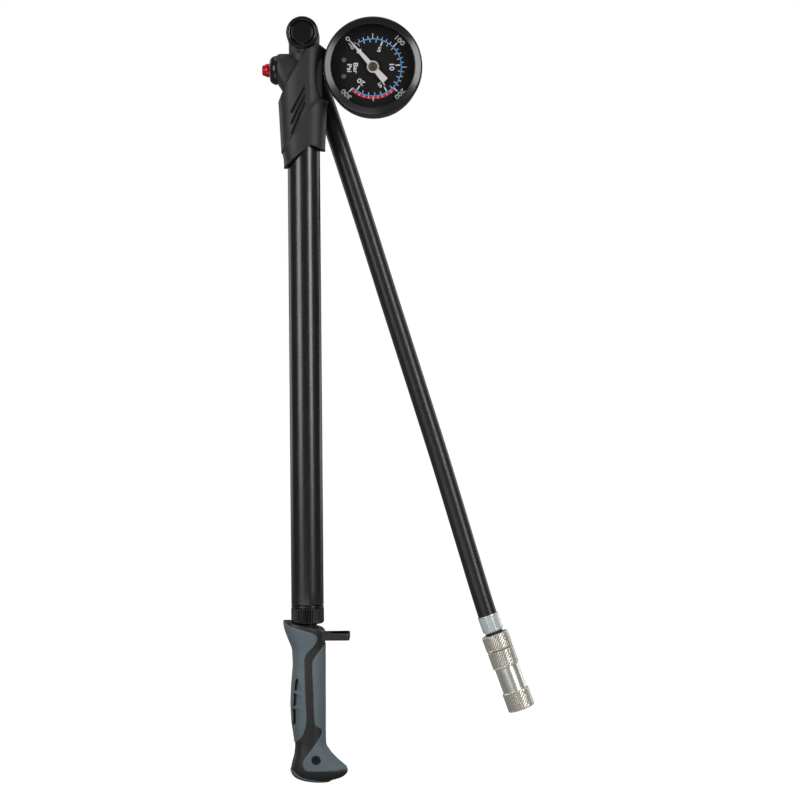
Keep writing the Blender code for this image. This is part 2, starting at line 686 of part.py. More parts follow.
# ---------------------------------------------------------------------------------------------- gauge
def gear_outline(teeth, pitch_radius, first, last, phase=0.0):
    """Straight-sided teeth first to last of a gear, as points around its centre; angles count from +X."""
    outline = []
    pitch_angle = 2 * math.pi / teeth
    root = pitch_radius - 1.35 * GEAR_MODULE
    tip = pitch_radius + 0.75 * GEAR_MODULE
    half_root = 0.30 * pitch_angle
    half_tip = 0.09 * pitch_angle
    for tooth in range(first, last + 1):
        middle = phase + tooth * pitch_angle
        for radius, offset in ((root, -half_root), (tip, -half_tip), (tip, half_tip), (root, half_root)):
            angle = middle + offset
            outline.append((radius * math.cos(angle), radius * math.sin(angle)))
    return outline


def make_gauge_case(base):
    """Cup, bezel, lens and gasket, turned about the gauge's axis, with the cup open towards the dial."""
    case = [(0, -9.0), (19.4, -9.0), (20.2, -8.2), (20.2, 9.8), (19.2, 9.8), (19.2, -7.8), (0, -7.8)]
    case = turned("gauge_case", case, 32)
    cut(case, bar("X", 3.4, -24.0, -16.0, (0, 0)))
    finish_piece(case, "black_metal", base)
    bezel = [(20.5, 6.0), (21.5, 6.0), (21.5, 9.3), (21.2, 10.5), (20.6, 12.6), (19.9, 13.4), (18.9, 13.3)]
    bezel += [(18.05, 12.6), (18.05, 12.3), (20.5, 12.3)]
    finish_piece(turned("gauge_bezel", bezel, 32), "black_metal", base)
    finish_piece(rod_piece("gauge_lens", 20.1, 10.8, 12.0, 32), "clear", base)
    finish_piece(ring_piece("lens_gasket", 18.4, 20.0, 10.1, 10.5, 24), "rubber", base)


def make_dial(base):
    dial = ring_piece("dial_plate", 1.4, 18.9, 6.6, 7.2, 32)
    for number, (across, up) in enumerate(((-12.5, 3.3), (-12.7, -3.8)), 1):
        cut(dial, bore(0.8, 5.0, 9.0, (across, up), 12))
        screw = [(0, 4.7), (0.5, 4.7), (0.5, 7.5), (1.1, 7.5), (1.1, 7.9), (0.8, 8.1), (0, 8.1)]
        screw = turned(f"dial_screw_{number}", screw, 12)
        screw.data.transform(Matrix.Translation(Vector((across, up, 0)) * MM))
        finish_piece(screw, "steel", base)
    finish_piece(dial, "dial_black", base)


def make_pointer(needle_frame):
    """The pointer at the zero mark, with a counterweight tail, and the pinion shaft that turns it."""
    half = [(15.5, 0.12), (9.6, 0.5), (8.9, 1.0), (8.3, 0.55), (2.4, 0.9), (-2.3, 1.05), (-8.0, 1.5)]
    outline = half + [(x, -y) for x, y in reversed(half)]
    pointer = prism("pointer", outline, 8.6, 9.1, "Z")
    join(pointer, bore(2.6, 8.4, 9.3, segments=20))
    cut(pointer, bore(1.0, 8.0, 10.0, segments=16))
    pointer.data.transform(Matrix.Rotation(POINTER_ZERO, 4, "Z"))
    finish_piece(pointer, "pointer_white", needle_frame)

    shaft = rod_piece("pinion_shaft", 0.7, -1.0, 9.5, 12)
    join(shaft, bore(1.6, 9.4, 10.2))
    phase = SECTOR_DIRECTION + math.pi / PINION_TEETH
    teeth = gear_outline(PINION_TEETH, PINION_PITCH_RADIUS, 0, PINION_TEETH - 1, phase)
    join(shaft, prism("pinion", teeth, 0.9, 2.3, "Z"))
    finish_piece(shaft, "brass", needle_frame)


def make_sector(sector_frame):
    """Toothed sector, in its own frame on its pivot; its first teeth face the pinion at rest."""
    teeth_round = PINION_TEETH * SECTOR_RATIO
    facing = SECTOR_DIRECTION + math.pi
    arc = gear_outline(teeth_round, SECTOR_PITCH_RADIUS, -7, 1, facing)
    spread = 2 * math.pi / teeth_round
    hub = []
    for step in range(9):
        angle = facing + 1.5 * spread + math.pi / 2 + (2 * math.pi - math.pi - 8.5 * spread) * step / 8
        hub.append((1.9 * math.cos(angle), 1.9 * math.sin(angle)))
    sector = prism("sector_gear", arc + hub, 1.1, 2.1, "Z")
    join(sector, bore(0.7, -1.5, 5.4, segments=16))
    finish_piece(sector, "brass", sector_frame)


def make_movement(base):
    """Bourdon tube, the brass block that feeds it through the stem, and the plate that holds the gears."""
    pivot = Vector((math.cos(SECTOR_DIRECTION), math.sin(SECTOR_DIRECTION)))
    pivot *= PINION_PITCH_RADIUS + SECTOR_PITCH_RADIUS
    outline = [(-13.0, 4.8), (3.0, 4.8), (11.2, -6.5), (6.0, -11.8), (-4.0, -5.5), (-13.0, -5.5)]
    plate = prism("movement_plate", outline, 3.6, 4.4, "Z")
    cut(plate, bore(1.0, 3.0, 5.0, segments=16), bore(1.0, 3.0, 5.0, (pivot.x, pivot.y), 16))
    finish_piece(plate, "brass", base)

    block = prism("gauge_stem", [(-16.5, -4), (-6.5, -4), (-6.5, 4), (-16.5, 4)], -4.0, 0.5, "Z")
    join(block, bar("X", 3.0, -27.4, -15.0, (0, 0)))
    for up in (-2.6, 2.6):
        join(block, bore(0.9, 0.2, 3.3, (-9.0, up), 12))
    cut(block, bar("X", 1.0, -30.0, -8.0, (0, -0.6), 12), bore(0.8, -6.0, -1.0, (-10.5, 0), 12))
    finish_piece(block, "brass", base)

    points = []
    steps = 24
    sides = 6
    for step in range(steps + 1):
        angle = math.radians(203.0 + 250.0 * step / steps)
        for side in range(sides):
            around = 2 * math.pi * side / sides
            radius = 15.6 + 0.8 * math.cos(around)
            points.append((radius * math.cos(angle), radius * math.sin(angle), -3.4 + 2.0 * math.sin(around)))
    faces = [list(range(sides)), list(range(steps * sides, (steps + 1) * sides))]
    for step in range(steps):
        for side in range(sides):
            after = (side + 1) % sides
            low = step * sides
            faces.append([low + side, low + after, low + sides + after, low + sides + side])
    finish_piece(mesh_object("bourdon_tube", points, faces), "brass", base)


# ---------------------------------------------------------------------------------------------- assembly
def main():
    clear_scene()
    base = make_empty("pump_base", None, (0, 0, -GRIP_MIDDLE * MM))
    guide = make_empty("guide_frame", base)
    barrel = make_empty("barrel_frame", guide)
    poppet = make_empty("poppet_frame", barrel)
    button = make_empty("button_frame", barrel)

    make_handle(base)
    make_rod(base)
    make_guide(guide)
    make_barrel(barrel)
    make_head_body(barrel)
    make_head_cover(barrel)
    make_check_valve(barrel, poppet)
    make_bleed_valve(barrel, button)
    make_swivel_bolt(barrel)

    gauge_place = (GAUGE_OFFSET * MM, 0, GAUGE_HEIGHT * MM)
    gauge = make_empty("gauge_frame", barrel, gauge_place, (math.pi / 2, 0, 0))
    needle = make_empty("needle_frame", gauge)
    reach = (PINION_PITCH_RADIUS + SECTOR_PITCH_RADIUS) * MM
    pivot_place = (reach * math.cos(SECTOR_DIRECTION), reach * math.sin(SECTOR_DIRECTION), 0)
    sector = make_empty("sector_frame", gauge, pivot_place)
    make_gauge_case(gauge)
    make_dial(gauge)
    make_movement(gauge)
    make_pointer(needle)
    make_sector(sector)

    swivel_place = (0, HOSE_PLANE * MM, SWIVEL_HEIGHT * MM)
    hose_turn = make_empty("hose_frame", barrel, swivel_place, (0, -HOSE_LEAN, 0))
    make_swivel_eye(hose_turn)
    make_hose(barrel)
    chuck_place = (CHUCK_X * MM, HOSE_PLANE * MM, CHUCK_Z * MM)
    chuck_turn = (0, -CHUCK_LEAN, 0)
    stem = make_empty("chuck_frame", barrel, chuck_place, chuck_turn)
    knob = make_empty("knob_frame", stem)
    pin = make_empty("pin_frame", stem)
    sleeve = make_empty("sleeve_frame", stem)
    make_chuck(stem, knob, pin, sleeve)


main()
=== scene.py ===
"""Visual model of a hand pump for air shocks: soft handle, black barrel, moulded head, gauge and hose.

Shapes are drawn in millimetres, with heights counted from the bottom of the handle. Each piece keeps its
own frame: the pump's, the gauge's (dial towards -Y), the swivel's or the chuck's (-Z out of its mouth).
"""

import json
import math

import bmesh
import bpy
import numpy as np
from mathutils import Matrix, Vector


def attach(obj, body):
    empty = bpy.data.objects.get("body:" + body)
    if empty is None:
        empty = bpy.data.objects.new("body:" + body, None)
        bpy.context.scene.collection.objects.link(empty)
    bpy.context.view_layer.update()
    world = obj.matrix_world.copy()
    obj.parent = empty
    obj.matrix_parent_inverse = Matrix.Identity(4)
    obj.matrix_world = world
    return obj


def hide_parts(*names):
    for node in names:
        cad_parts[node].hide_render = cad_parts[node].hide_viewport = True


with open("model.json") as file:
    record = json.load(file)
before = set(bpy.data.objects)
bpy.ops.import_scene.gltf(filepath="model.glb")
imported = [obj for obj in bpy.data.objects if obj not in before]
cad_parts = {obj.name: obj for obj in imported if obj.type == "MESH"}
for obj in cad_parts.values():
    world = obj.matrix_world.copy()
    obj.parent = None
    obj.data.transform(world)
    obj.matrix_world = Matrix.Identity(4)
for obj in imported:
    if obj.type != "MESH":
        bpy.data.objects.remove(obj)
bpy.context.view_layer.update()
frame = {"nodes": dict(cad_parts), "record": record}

MM = 0.001
GRIP_MIDDLE = 36.0
GAUGE_X = 30.3
GAUGE_HEIGHT = 307.5
VALVE_AXIS = 307.6
SWIVEL_HEIGHT = 322.95
HOSE_PLANE = 14.8
HOSE_RADIUS = 4.25
CHUCK_X = 78.5
CHUCK_Z = 69.7
CHUCK_LEAN = math.radians(19.6)
HOSE_LEAN = math.atan2(CHUCK_X, SWIVEL_HEIGHT - CHUCK_Z)
HOSE_ROUTE = [
    (5.5, 305.5), (14.5, 278.5), (25.7, 243.3), (36.5, 208.2), (47.4, 173.1), (58.2, 138.1),
    (68.5, 103.1), (75.5, 79.3),
]


def frame_at(x, y, z, turn=0.0, axis="X"):
    """A frame at a place in millimetres on the pump, turned about one of its axes."""
    return Matrix.Translation(Vector((x, y, z - GRIP_MIDDLE)) * MM) @ Matrix.Rotation(turn, 4, axis)


PUMP = frame_at(0, 0, 0)
GAUGE = frame_at(GAUGE_X, 0, GAUGE_HEIGHT, math.pi / 2)
VALVE = frame_at(0, 0, VALVE_AXIS, math.pi / 2, "Y")
SWIVEL_RING = frame_at(0, 0, SWIVEL_HEIGHT, -math.pi / 2)
HOSE_TOP = frame_at(0, HOSE_PLANE, SWIVEL_HEIGHT, -HOSE_LEAN, "Y")
HOSE_EYE = frame_at(0, HOSE_PLANE, SWIVEL_HEIGHT, -math.pi / 2)
CHUCK = frame_at(CHUCK_X, HOSE_PLANE, CHUCK_Z, -CHUCK_LEAN, "Y")

# Handle cross-sections: height at the left, height at the right, left edge, right edge, half depth
HANDLE_SECTIONS = [
    (-0.1, -0.1, 4.9, 5.1, 0.1),
    (0.0, 0.0, 1.5, 8.5, 3.0),
    (0.8, 0.8, -2.8, 10.7, 5.6),
    (1.9, 1.9, -5.8, 14.6, 7.2),
    (3.2, 3.2, -7.2, 16.5, 7.9),
    (5.0, 5.0, -8.0, 17.4, 8.2),
    (6.6, 6.4, -8.0, 16.6, 8.2),
    (9.4, 9.4, -7.4, 13.0, 8.0),
    (12.4, 12.4, -6.5, 10.0, 7.7),
    (16.0, 16.0, -6.1, 7.6, 7.3),
    (20.0, 20.0, -6.5, 7.5, 7.3),
    (25.9, 25.9, -7.4, 7.5, 7.6),
    (34.2, 34.2, -7.8, 7.6, 7.8),
    (42.4, 42.4, -7.4, 7.6, 7.7),
    (50.7, 50.7, -6.6, 7.7, 7.4),
    (57.9, 57.4, -6.9, 7.7, 7.6),
    (62.8, 61.0, -8.9, 7.8, 8.4),
    (66.5, 63.8, -10.2, 7.9, 9.2),
    (69.3, 65.5, -10.7, 7.9, 9.5),
    (69.9, 66.2, -10.5, 7.4, 9.2),
]
PAD_LEFT = [
    (-20.0, 79.0), (-11.0, 70.9), (-9.0, 68.7), (-2.5, 66.6), (2.6, 65.2), (4.4, 63.9), (4.9, 62.3),
    (3.3, 59.2), (-0.5, 55.9), (-1.2, 53.5), (-1.2, 51.5), (-0.9, 39.7), (-0.4, 31.4), (-0.5, 25.9),
    (-1.8, 21.5), (-3.6, 19.0), (-6.1, 17.3), (-20.0, 11.0),
]
PAD_RIGHT = [
    (20.0, 61.2), (8.1, 61.0), (7.0, 59.2), (2.3, 53.6), (1.8, 51.2), (2.4, 39.7), (2.7, 25.9),
    (3.7, 24.6), (6.0, 23.4), (6.1, 21.3), (2.4, 16.4), (-2.2, 10.9), (-2.8, 8.2), (-1.7, 6.0),
    (-0.3, 5.4), (10.7, 5.4), (26.0, 6.8),
]
PAD_BASE = [
    (-20.0, 14.0), (-7.9, 6.6), (-4.7, 3.8), (-2.3, 2.4), (4.2, 1.2), (9.2, 0.6), (26.0, -2.0),
    (26.0, -5.0), (-20.0, -5.0),
]
# Soft pads by piece: the CAD node each stands for and its outline seen from the front
PADS = {
    "soft_pad_left": ("grip_pad_left", PAD_LEFT),
    "soft_pad_right": ("grip_pad_right", PAD_RIGHT),
    "soft_pad_base": ("grip_base_pad", PAD_BASE),
}
# Gills in the left pad: outline, the x at which the gill runs out to the surface, points of its open edge
GILLS = [
    ([(-4.9, 45.4), (-5.6, 43.6), (-6.1, 40.6), (-2.2, 39.2), (-2.6, 41.5), (-4.2, 45.2)], -2.4, 3),
    ([(-6.1, 39.2), (-6.7, 33.7), (-2.0, 33.2), (-2.1, 37.9)], -2.3, 2),
    ([(-6.7, 32.4), (-6.8, 25.6), (-5.6, 25.6), (-2.4, 29.6), (-2.2, 32.2)], -2.3, 2),
]
# Hose clip at the handle's top: a fork with a half-round slot, seen from above
FORK_SLOT = 4.3
FORK_PRONG = 1.9
FORK_CENTRE = 14.2
FORK_REACH = 18.2
FORK_LOW = 61.5
FORK_HIGH = 64.6

# Head cover: height, left edge, right edge, half depth; the lines its lower and upper edges follow
COVER_SECTIONS = [
    (258.0, -8.6, 9.3, 8.7),
    (268.0, -8.8, 9.4, 8.8),
    (272.5, -9.7, 9.5, 9.0),
    (292.3, -10.7, 10.5, 9.3),
    (294.2, -10.9, 11.1, 9.3),
    (300.0, -10.9, 10.2, 9.3),
    (306.0, -10.9, 10.2, 9.2),
    (316.0, -9.6, 10.8, 8.6),
    (319.5, -7.0, 10.0, 7.6),
    (321.5, -4.0, 8.0, 6.0),
]
COVER_SKIRT = [(-14.0, 265.0), (-8.6, 265.2), (-3.0, 269.4), (2.4, 273.8), (3.6, 274.2), (14.0, 271.2)]
COVER_TOP = [(-14.0, 287.0), (-10.9, 293.2), (-8.6, 297.9), (0.6, 313.8), (4.8, 319.6), (9.6, 316.4)]
COVER_TOP += [(20.0, 312.0)]
COVER_RIDGE = [(12.0, 294.2), (8.2, 293.7), (5.6, 292.9), (2.3, 289.5), (-5.5, 278.0), (-9.4, 271.9)]

# Moulded head between cover and bleed cap: distance along X, lowest, highest, half depth
HEAD_SECTIONS = [
    (-11.25, 303.6, 312.4, 4.4),
    (-11.2, 302.2, 313.7, 5.8),
    (-10.8, 301.4, 314.3, 6.4),
    (-9.8, 299.8, 314.6, 6.8),
    (-8.6, 297.9, 314.6, 7.0),
    (-7.0, 295.6, 314.6, 7.1),
    (-3.0, 292.0, 314.6, 7.1),
    (8.2, 291.0, 314.5, 7.1),
    (8.7, 292.0, 313.9, 6.6),
    (8.8, 294.0, 312.0, 5.0),
]


# ---------- materials
def feed(node, inputs):
    """Gives a node's inputs, by name or number, their values or the outputs of other nodes."""
    for key, value in inputs.items():
        if isinstance(value, bpy.types.Node):
            value = value.outputs[0]
        if isinstance(value, bpy.types.NodeSocket):
            node.id_data.links.new(value, node.inputs[key])
        else:
            node.inputs[key].default_value = value


def add_node(tree, kind, inputs=None, **settings):
    node = tree.nodes.new("ShaderNode" + kind)
    for setting, value in settings.items():
        setattr(node, setting, value)
    feed(node, inputs or {})
    return node


def finish(name, colour, roughness, metallic=0.0, grain="speckle", size=0.4, bump=0.1, uneven=0.12,
           wear=0.06, specular=0.5, alpha=1.0):
    """A finish with uneven tone and gloss and a fine relief: speckle, turned rings about Z or drawn along Z.

    Size is the relief's grain in millimetres and bump its strength; uneven is the spread of the base
    colour and wear the spread of the roughness.
    """
    material = bpy.data.materials.new(name)
    material.use_nodes = True
    tree = material.node_tree
    place = add_node(tree, "TexCoord").outputs["Object"]
    grains = {"Scale": 1.0 / (size * MM), "Detail": 3.0}
    if grain == "turned":
        flat = add_node(tree, "VectorMath", {0: place, 1: (1.0, 1.0, 0.0)}, operation="MULTIPLY")
        radius = add_node(tree, "VectorMath", {0: flat}, operation="LENGTH").outputs["Value"]
        height = add_node(tree, "SeparateXYZ", {"Vector": place}).outputs["Z"]
        along = add_node(tree, "Math", {0: radius, 1: height}, operation="ADD")
        fine = add_node(tree, "TexNoise", {"W": along, **grains}, noise_dimensions="1D")
    elif grain == "drawn":
        squeezed = add_node(tree, "Mapping", {"Vector": place, "Scale": (1.0, 1.0, 0.02)})
        fine = add_node(tree, "TexNoise", {"Vector": squeezed, **grains})
    else:
        fine = add_node(tree, "TexNoise", {"Vector": place, **grains})
    relief = add_node(tree, "Bump", {"Strength": bump, "Distance": 0.1 * MM, "Height": fine})

    broad = add_node(tree, "TexNoise", {"Vector": place, "Scale": 1.0 / (7.0 * MM), "Detail": 4.0})
    tone = add_node(tree, "ValToRGB", {"Fac": broad})
    for stop, at, share in zip(tone.color_ramp.elements, (0.3, 0.7), (1.0 - uneven, 1.0 + uneven)):
        stop.position = at
        stop.color = (*(min(c * share, 1.0) for c in colour), 1.0)
    least = max(roughness - wear, 0.02)
    gloss = {"From Min": 0.3, "From Max": 0.7, "To Min": least, "To Max": roughness + wear, "Value": fine}
    look = {"Base Color": tone, "Metallic": metallic, "Roughness": add_node(tree, "MapRange", gloss)}
    look.update({"Normal": relief, "Specular IOR Level": specular, "Alpha": alpha})
    feed(tree.nodes["Principled BSDF"], look)
    return material


FINISHES = {
    "handle_plastic": finish("core_plastic", (0.022, 0.0205, 0.020), 0.46, size=0.5, bump=0.25),
    "grip_rubber": finish("grip_rubber", (0.128, 0.165, 0.186), 0.62, size=0.35, bump=0.35, uneven=0.05),
    "black_steel": finish("black_steel", (0.012, 0.012, 0.013), 0.3, grain="turned", size=0.15),
    "white_plastic": finish("acetal", (0.62, 0.6, 0.55), 0.45, size=0.6),
    "seal_rubber": finish("seal_rubber", (0.012, 0.012, 0.012), 0.6, size=0.3),
    "steel": finish("steel", (0.55, 0.55, 0.56), 0.28, 1.0, grain="turned", size=0.2),
    "black_anodised": finish("anodised_tube", (0.008, 0.008, 0.009), 0.25, grain="drawn", size=0.25,
                             bump=0.015, specular=0.75),
    "head_plastic": finish("head_plastic", (0.021, 0.021, 0.022), 0.5, size=0.28, bump=0.3),
    "brass": finish("brass", (0.62, 0.43, 0.16), 0.3, 1.0, grain="turned", size=0.2),
    "red_anodised": finish("red_anodised", (0.62, 0.008, 0.016), 0.25, 0.55, grain="turned", size=0.12),
    "zinc_plate": finish("zinc_plate", (0.9, 0.96, 1.0), 0.27, 0.5, size=1.2, bump=0.05, uneven=0.05),
    "hose_rubber": finish("hose_rubber", (0.017, 0.017, 0.018), 0.32, size=1.5, bump=0.015),
    "nickel_plate": finish("nickel_plate", (0.96, 0.925, 0.865), 0.27, 0.8, size=0.8, bump=0.03,
                           uneven=0.06),
    "gauge_black": finish("turned_black", (0.008, 0.008, 0.009), 0.22, grain="turned", size=0.14,
                          bump=0.05, specular=0.7),
    "clear_lens": finish("clear_lens", (0.03, 0.03, 0.03), 0.04, size=4.0, bump=0.01, wear=0.015,
                         alpha=0.05),
    "dial_face": finish("dial_face", (0.004, 0.004, 0.004), 0.6, size=0.3, bump=0.1, specular=0.25),
    "pointer_white": finish("pointer_enamel", (0.85, 0.85, 0.83), 0.45, size=0.5, uneven=0.05),
}
GLOSSY_BLACK = finish("gloss_plastic", (0.008, 0.008, 0.009), 0.14, size=2.0, bump=0.05)
DULL_BRONZE = finish("dull_bronze", (0.15, 0.12, 0.09), 0.4, 0.8, grain="turned", size=0.2)
PRINT_WHITE = finish("print_white", (0.9, 0.91, 0.92), 0.6, size=0.3, uneven=0.06)
PRINT_BLUE = finish("print_blue", (0.08, 0.42, 0.92), 0.6, size=0.3, uneven=0.06)
PRINT_RED = finish("print_red", (0.85, 0.02, 0.05), 0.6, size=0.3, uneven=0.06)


# ---------- mesh helpers; a part of a piece is its points in millimetres and its faces
def new_object(name, data):
    made = bpy.data.objects.new(name, data)
    bpy.context.scene.collection.objects.link(made)
    return made


def place_piece(piece, place, slot, body, node=None, material=None):
    """Stands a piece in its frame with its body and finish, in place of the CAD node if it has one."""
    piece.matrix_world = place
    piece.data.materials.clear()
    piece.data.materials.append(material or FINISHES[slot])
    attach(piece, body)
    if node:
        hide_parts(node)


def moulded_piece(name, parts, place, slot, body, node=None, material=None, crease=40.0):
    """One piece from several parts, each with its faces turned outwards."""
    shell = bmesh.new()
    for points, faces in parts:
        part = bpy.data.meshes.new("part")
        corners = [[int(corner) for corner in face] for face in faces]
        part.from_pydata((np.asarray(points, float) * MM).tolist(), [], corners)
        shell.from_mesh(part)
        bpy.data.meshes.remove(part)
    bmesh.ops.remove_doubles(shell, verts=shell.verts, dist=1e-8)
    bmesh.ops.dissolve_degenerate(shell, edges=shell.edges, dist=1e-8)
    bmesh.ops.recalc_face_normals(shell, faces=shell.faces)
    mesh = bpy.data.meshes.new(name)
    shell.to_mesh(mesh)
    shell.free()
    mesh.shade_smooth()
    mesh.set_sharp_from_angle(angle=math.radians(crease))
    place_piece(new_object(name, mesh), place, slot, body, node, material)


def grid_faces(rows, columns, wrap_rows=False, wrap_columns=False):
    """Quads of a grid of points stored row by row, closed in either direction if asked."""
    index = np.arange(rows * columns).reshape(rows, columns)
    if wrap_rows:
        index = np.vstack([index, index[:1]])
    if wrap_columns:
        index = np.hstack([index, index[:, :1]])
    quads = np.stack([index[:-1, :-1], index[:-1, 1:], index[1:, 1:], index[1:, :-1]], axis=-1)
    return quads.reshape(-1, 4)


def capped_tube(points):
    """A tube with closed ends, from rows of points that run round it."""
    rows, columns = points.shape[:2]
    last = (rows - 1) * columns
    faces = grid_faces(rows, columns, False, True).tolist()
    faces += [list(range(columns)), list(range(last, last + columns))]
    return points.reshape(-1, 3), faces


def round_angles(columns):
    return np.linspace(0, 2 * np.pi, columns, endpoint=False)[None, :]


def rounded(corners, radius=0.25, steps=4):
    """A closed outline with its corners rounded; a corner may carry its own radius as a third number."""
    points = []
    for before, here, after in zip(corners[-1:] + corners[:-1], corners, corners[1:] + corners[:1]):
        cut = here[2] if len(here) > 2 else radius
        middle = np.array(here[:2], float)
        back = np.array(before[:2], float) - middle
        ahead = np.array(after[:2], float) - middle
        reach = min(cut, 0.45 * np.linalg.norm(back), 0.45 * np.linalg.norm(ahead))
        if reach < 0.01 or abs(middle[0]) < 1e-6:
            points.append(tuple(middle))
            continue
        start = middle + unit(back) * reach
        end = middle + unit(ahead) * reach
        for step in range(steps + 1):
            t = step / steps
            points.append(tuple((1 - t) ** 2 * start + 2 * t * (1 - t) * middle + t**2 * end))
    return points


def turned(corners, radius=0.25, segments=96, spacing=None, shape=None, twist=0.0):
    """A closed profile of (radius, height) corners turned about Z.

    Spacing adds rings along the profile, and shape(angle, radius, height) gives each point its own radius.
    With a twist, in radians per millimetre of height, the columns of points wind round the piece.
    """
    profile = rounded(corners, radius)
    if spacing:
        dense = []
        for (ra, ha), (rb, hb) in zip(profile, profile[1:] + profile[:1]):
            pieces = max(1, round(math.hypot(rb - ra, hb - ha) / spacing))
            dense += [(ra + (rb - ra) * k / pieces, ha + (hb - ha) * k / pieces) for k in range(pieces)]
        profile = dense
    table = np.array(profile)
    radii = np.repeat(table[:, :1], segments, axis=1)
    heights = np.repeat(table[:, 1:], segments, axis=1)
    angle = round_angles(segments) + twist * heights
    if shape:
        radii = shape(angle, radii, heights)
    points = np.stack([radii * np.cos(angle), radii * np.sin(angle), heights], axis=-1).reshape(-1, 3)
    return points, grid_faces(len(profile), segments, True, True)


def turned_piece(name, profile, place, slot, body, node=None, material=None, crease=40.0, **form):
    """A piece made of one turned profile; form goes to turned()."""
    moulded_piece(name, [turned(profile, **form)], place, slot, body, node, material, crease)


def smooth_step(value):
    """0 up to 0, 1 from 1 on, and a smooth rise between."""
    held = np.clip(value, 0.0, 1.0)
    return held * held * (3 - 2 * held)


def between(value, low, high, fade):
    """1 between two bounds and 0 outside them, with a smooth change inside each."""
    return smooth_step((value - low) / fade) * smooth_step((high - value) / fade)


def ribs(count, depth, outer, low, high, helix=0.0, fade=0.3, land=0.0):
    """A shape for turned(): ribs on the outer wall from low to high, straight or on a helix.

    Land is the share of each rib's width that stays flat between two grooves.
    """

    def shape(angle, radius, height):
        wave = (count * angle / (2 * np.pi) - helix * height) % 1.0
        groove = np.clip((1.0 - np.abs(2 * wave - 1.0) - land) / (1.0 - land), 0, 1)
        near = smooth_step((radius - (outer - 0.4)) / 0.3)
        return radius - depth * groove * between(height, low, high, fade) * near

    return shape


def from_segment(x, z, start, end):
    """Distance of points from a segment, and how far along it (0 to 1) their nearest point lies."""
    ex = end[0] - start[0]
    ez = end[1] - start[1]
    along = np.clip(((x - start[0]) * ex + (z - start[1]) * ez) / (ex * ex + ez * ez), 0, 1)
    return np.hypot(x - start[0] - along * ex, z - start[1] - along * ez), along


def distance_inside(outline, x, z):
    """How far points lie inside a closed outline, negative outside it."""
    nearest = np.full(x.shape, 1e9)
    inside = np.zeros(x.shape, bool)
    for start, end in zip(outline, outline[1:] + outline[:1]):
        nearest = np.minimum(nearest, from_segment(x, z, start, end)[0])
        (ax, az), (bx, bz) = start, end
        if az != bz:
            inside ^= ((az > z) != (bz > z)) & (x < ax + (z - az) / (bz - az) * (bx - ax))
    return np.where(inside, nearest, -nearest)


def distance_to_line(line, x, z):
    """Distance from an open line, its side (1 above it, -1 below) and the share of it passed by then."""
    nearest = np.full(x.shape, 1e9)
    above = np.zeros(x.shape)
    share = np.zeros(x.shape)
    for number, (start, end) in enumerate(zip(line, line[1:])):
        distance, along = from_segment(x, z, start, end)
        side = np.sign((end[1] - start[1]) * (x - start[0]) - (end[0] - start[0]) * (z - start[1]))
        closer = distance < nearest
        above = np.where(closer, side, above)
        share = np.where(closer, (number + along) / (len(line) - 1), share)
        nearest = np.where(closer, distance, nearest)
    return nearest, above, share


def soften_outline(outline, rounds=2):
    """The outline with its corners cut back again and again, so that it reads as a smooth curve."""
    for _ in range(rounds):
        cut = []
        for (ax, az), (bx, bz) in zip(outline, outline[1:] + outline[:1]):
            cut.append((0.75 * ax + 0.25 * bx, 0.75 * az + 0.25 * bz))
            cut.append((0.25 * ax + 0.75 * bx, 0.25 * az + 0.75 * bz))
        outline = cut
    return outline


def signed_power(value, power):
    return np.sign(value) * np.abs(value) ** power


def softened(table, times):
    """A table whose rows are averaged with their neighbours, the first and the last held."""
    for _ in range(times):
        table[1:-1] = (table[:-2] + 2 * table[1:-1] + table[2:]) / 4
    return table


def resampled(table, at, wanted):
    """The columns of a table that stand at some places, read off at the wanted ones."""
    return np.stack([np.interp(wanted, at, column) for column in table.T], axis=1)


def even_sections(sections, spacing, times):
    """Cross-sections resampled at an even spacing along the outline and softened where they change."""
    table = np.array(sections, float)
    change = np.abs(np.diff(table, axis=0))
    rise = (change[:, 0] + change[:, 1]) / 2
    spread = change[:, 2:].max(axis=1)
    length = np.concatenate([[0], np.cumsum(np.hypot(rise, spread))])
    wanted = np.linspace(0, length[-1], int(length[-1] / spacing) + 1)
    return softened(resampled(table, length, wanted), times)


def unit(vectors):
    return vectors / np.maximum(np.linalg.norm(vectors, axis=-1, keepdims=True), 1e-12)


def grid_normals(points):
    """Outward normals of a grid of points whose rows run round a vertical axis."""
    down = np.gradient(points, axis=0)
    around = np.roll(points, -1, axis=1) - np.roll(points, 1, axis=1)
    return unit(np.cross(around, down))


def shell_of(outer, inner, keep):
    """A closed shell from the kept quads of a grid, an inner copy of them and walls round their rims."""
    rows, columns = outer.shape[:2]
    quads = grid_faces(rows, columns, False, True)
    quads = quads[keep.reshape(-1)[quads].all(axis=1)]
    edges = dict.fromkeys(edge for quad in quads.tolist() for edge in zip(quad, quad[1:] + quad[:1]))
    shift = rows * columns
    faces = quads.tolist() + (quads[:, ::-1] + shift).tolist()
    faces += [[b, a, a + shift, b + shift] for a, b in edges if (b, a) not in edges]
    points = np.concatenate([outer.reshape(-1, 3), inner.reshape(-1, 3)])
    used = sorted({v for face in faces for v in face})
    number = {v: k for k, v in enumerate(used)}
    return points[used], [[number[v] for v in face] for face in faces]


def offset_outline(outline, distance):
    """The outline moved outwards by a distance, with mitred corners."""
    points = np.array(outline, float)
    before = np.roll(points, 1, axis=0)
    after = np.roll(points, -1, axis=0)
    area = np.sum(before[:, 0] * points[:, 1] - points[:, 0] * before[:, 1])
    turn = 1.0 if area > 0 else -1.0
    back = unit(points - before)
    ahead = unit(after - points)
    share = np.maximum(1.0 + np.sum(back * ahead, axis=1, keepdims=True), 0.5)
    outwards = (back + ahead)[:, ::-1] * (turn, -turn)
    return points + outwards / share * distance


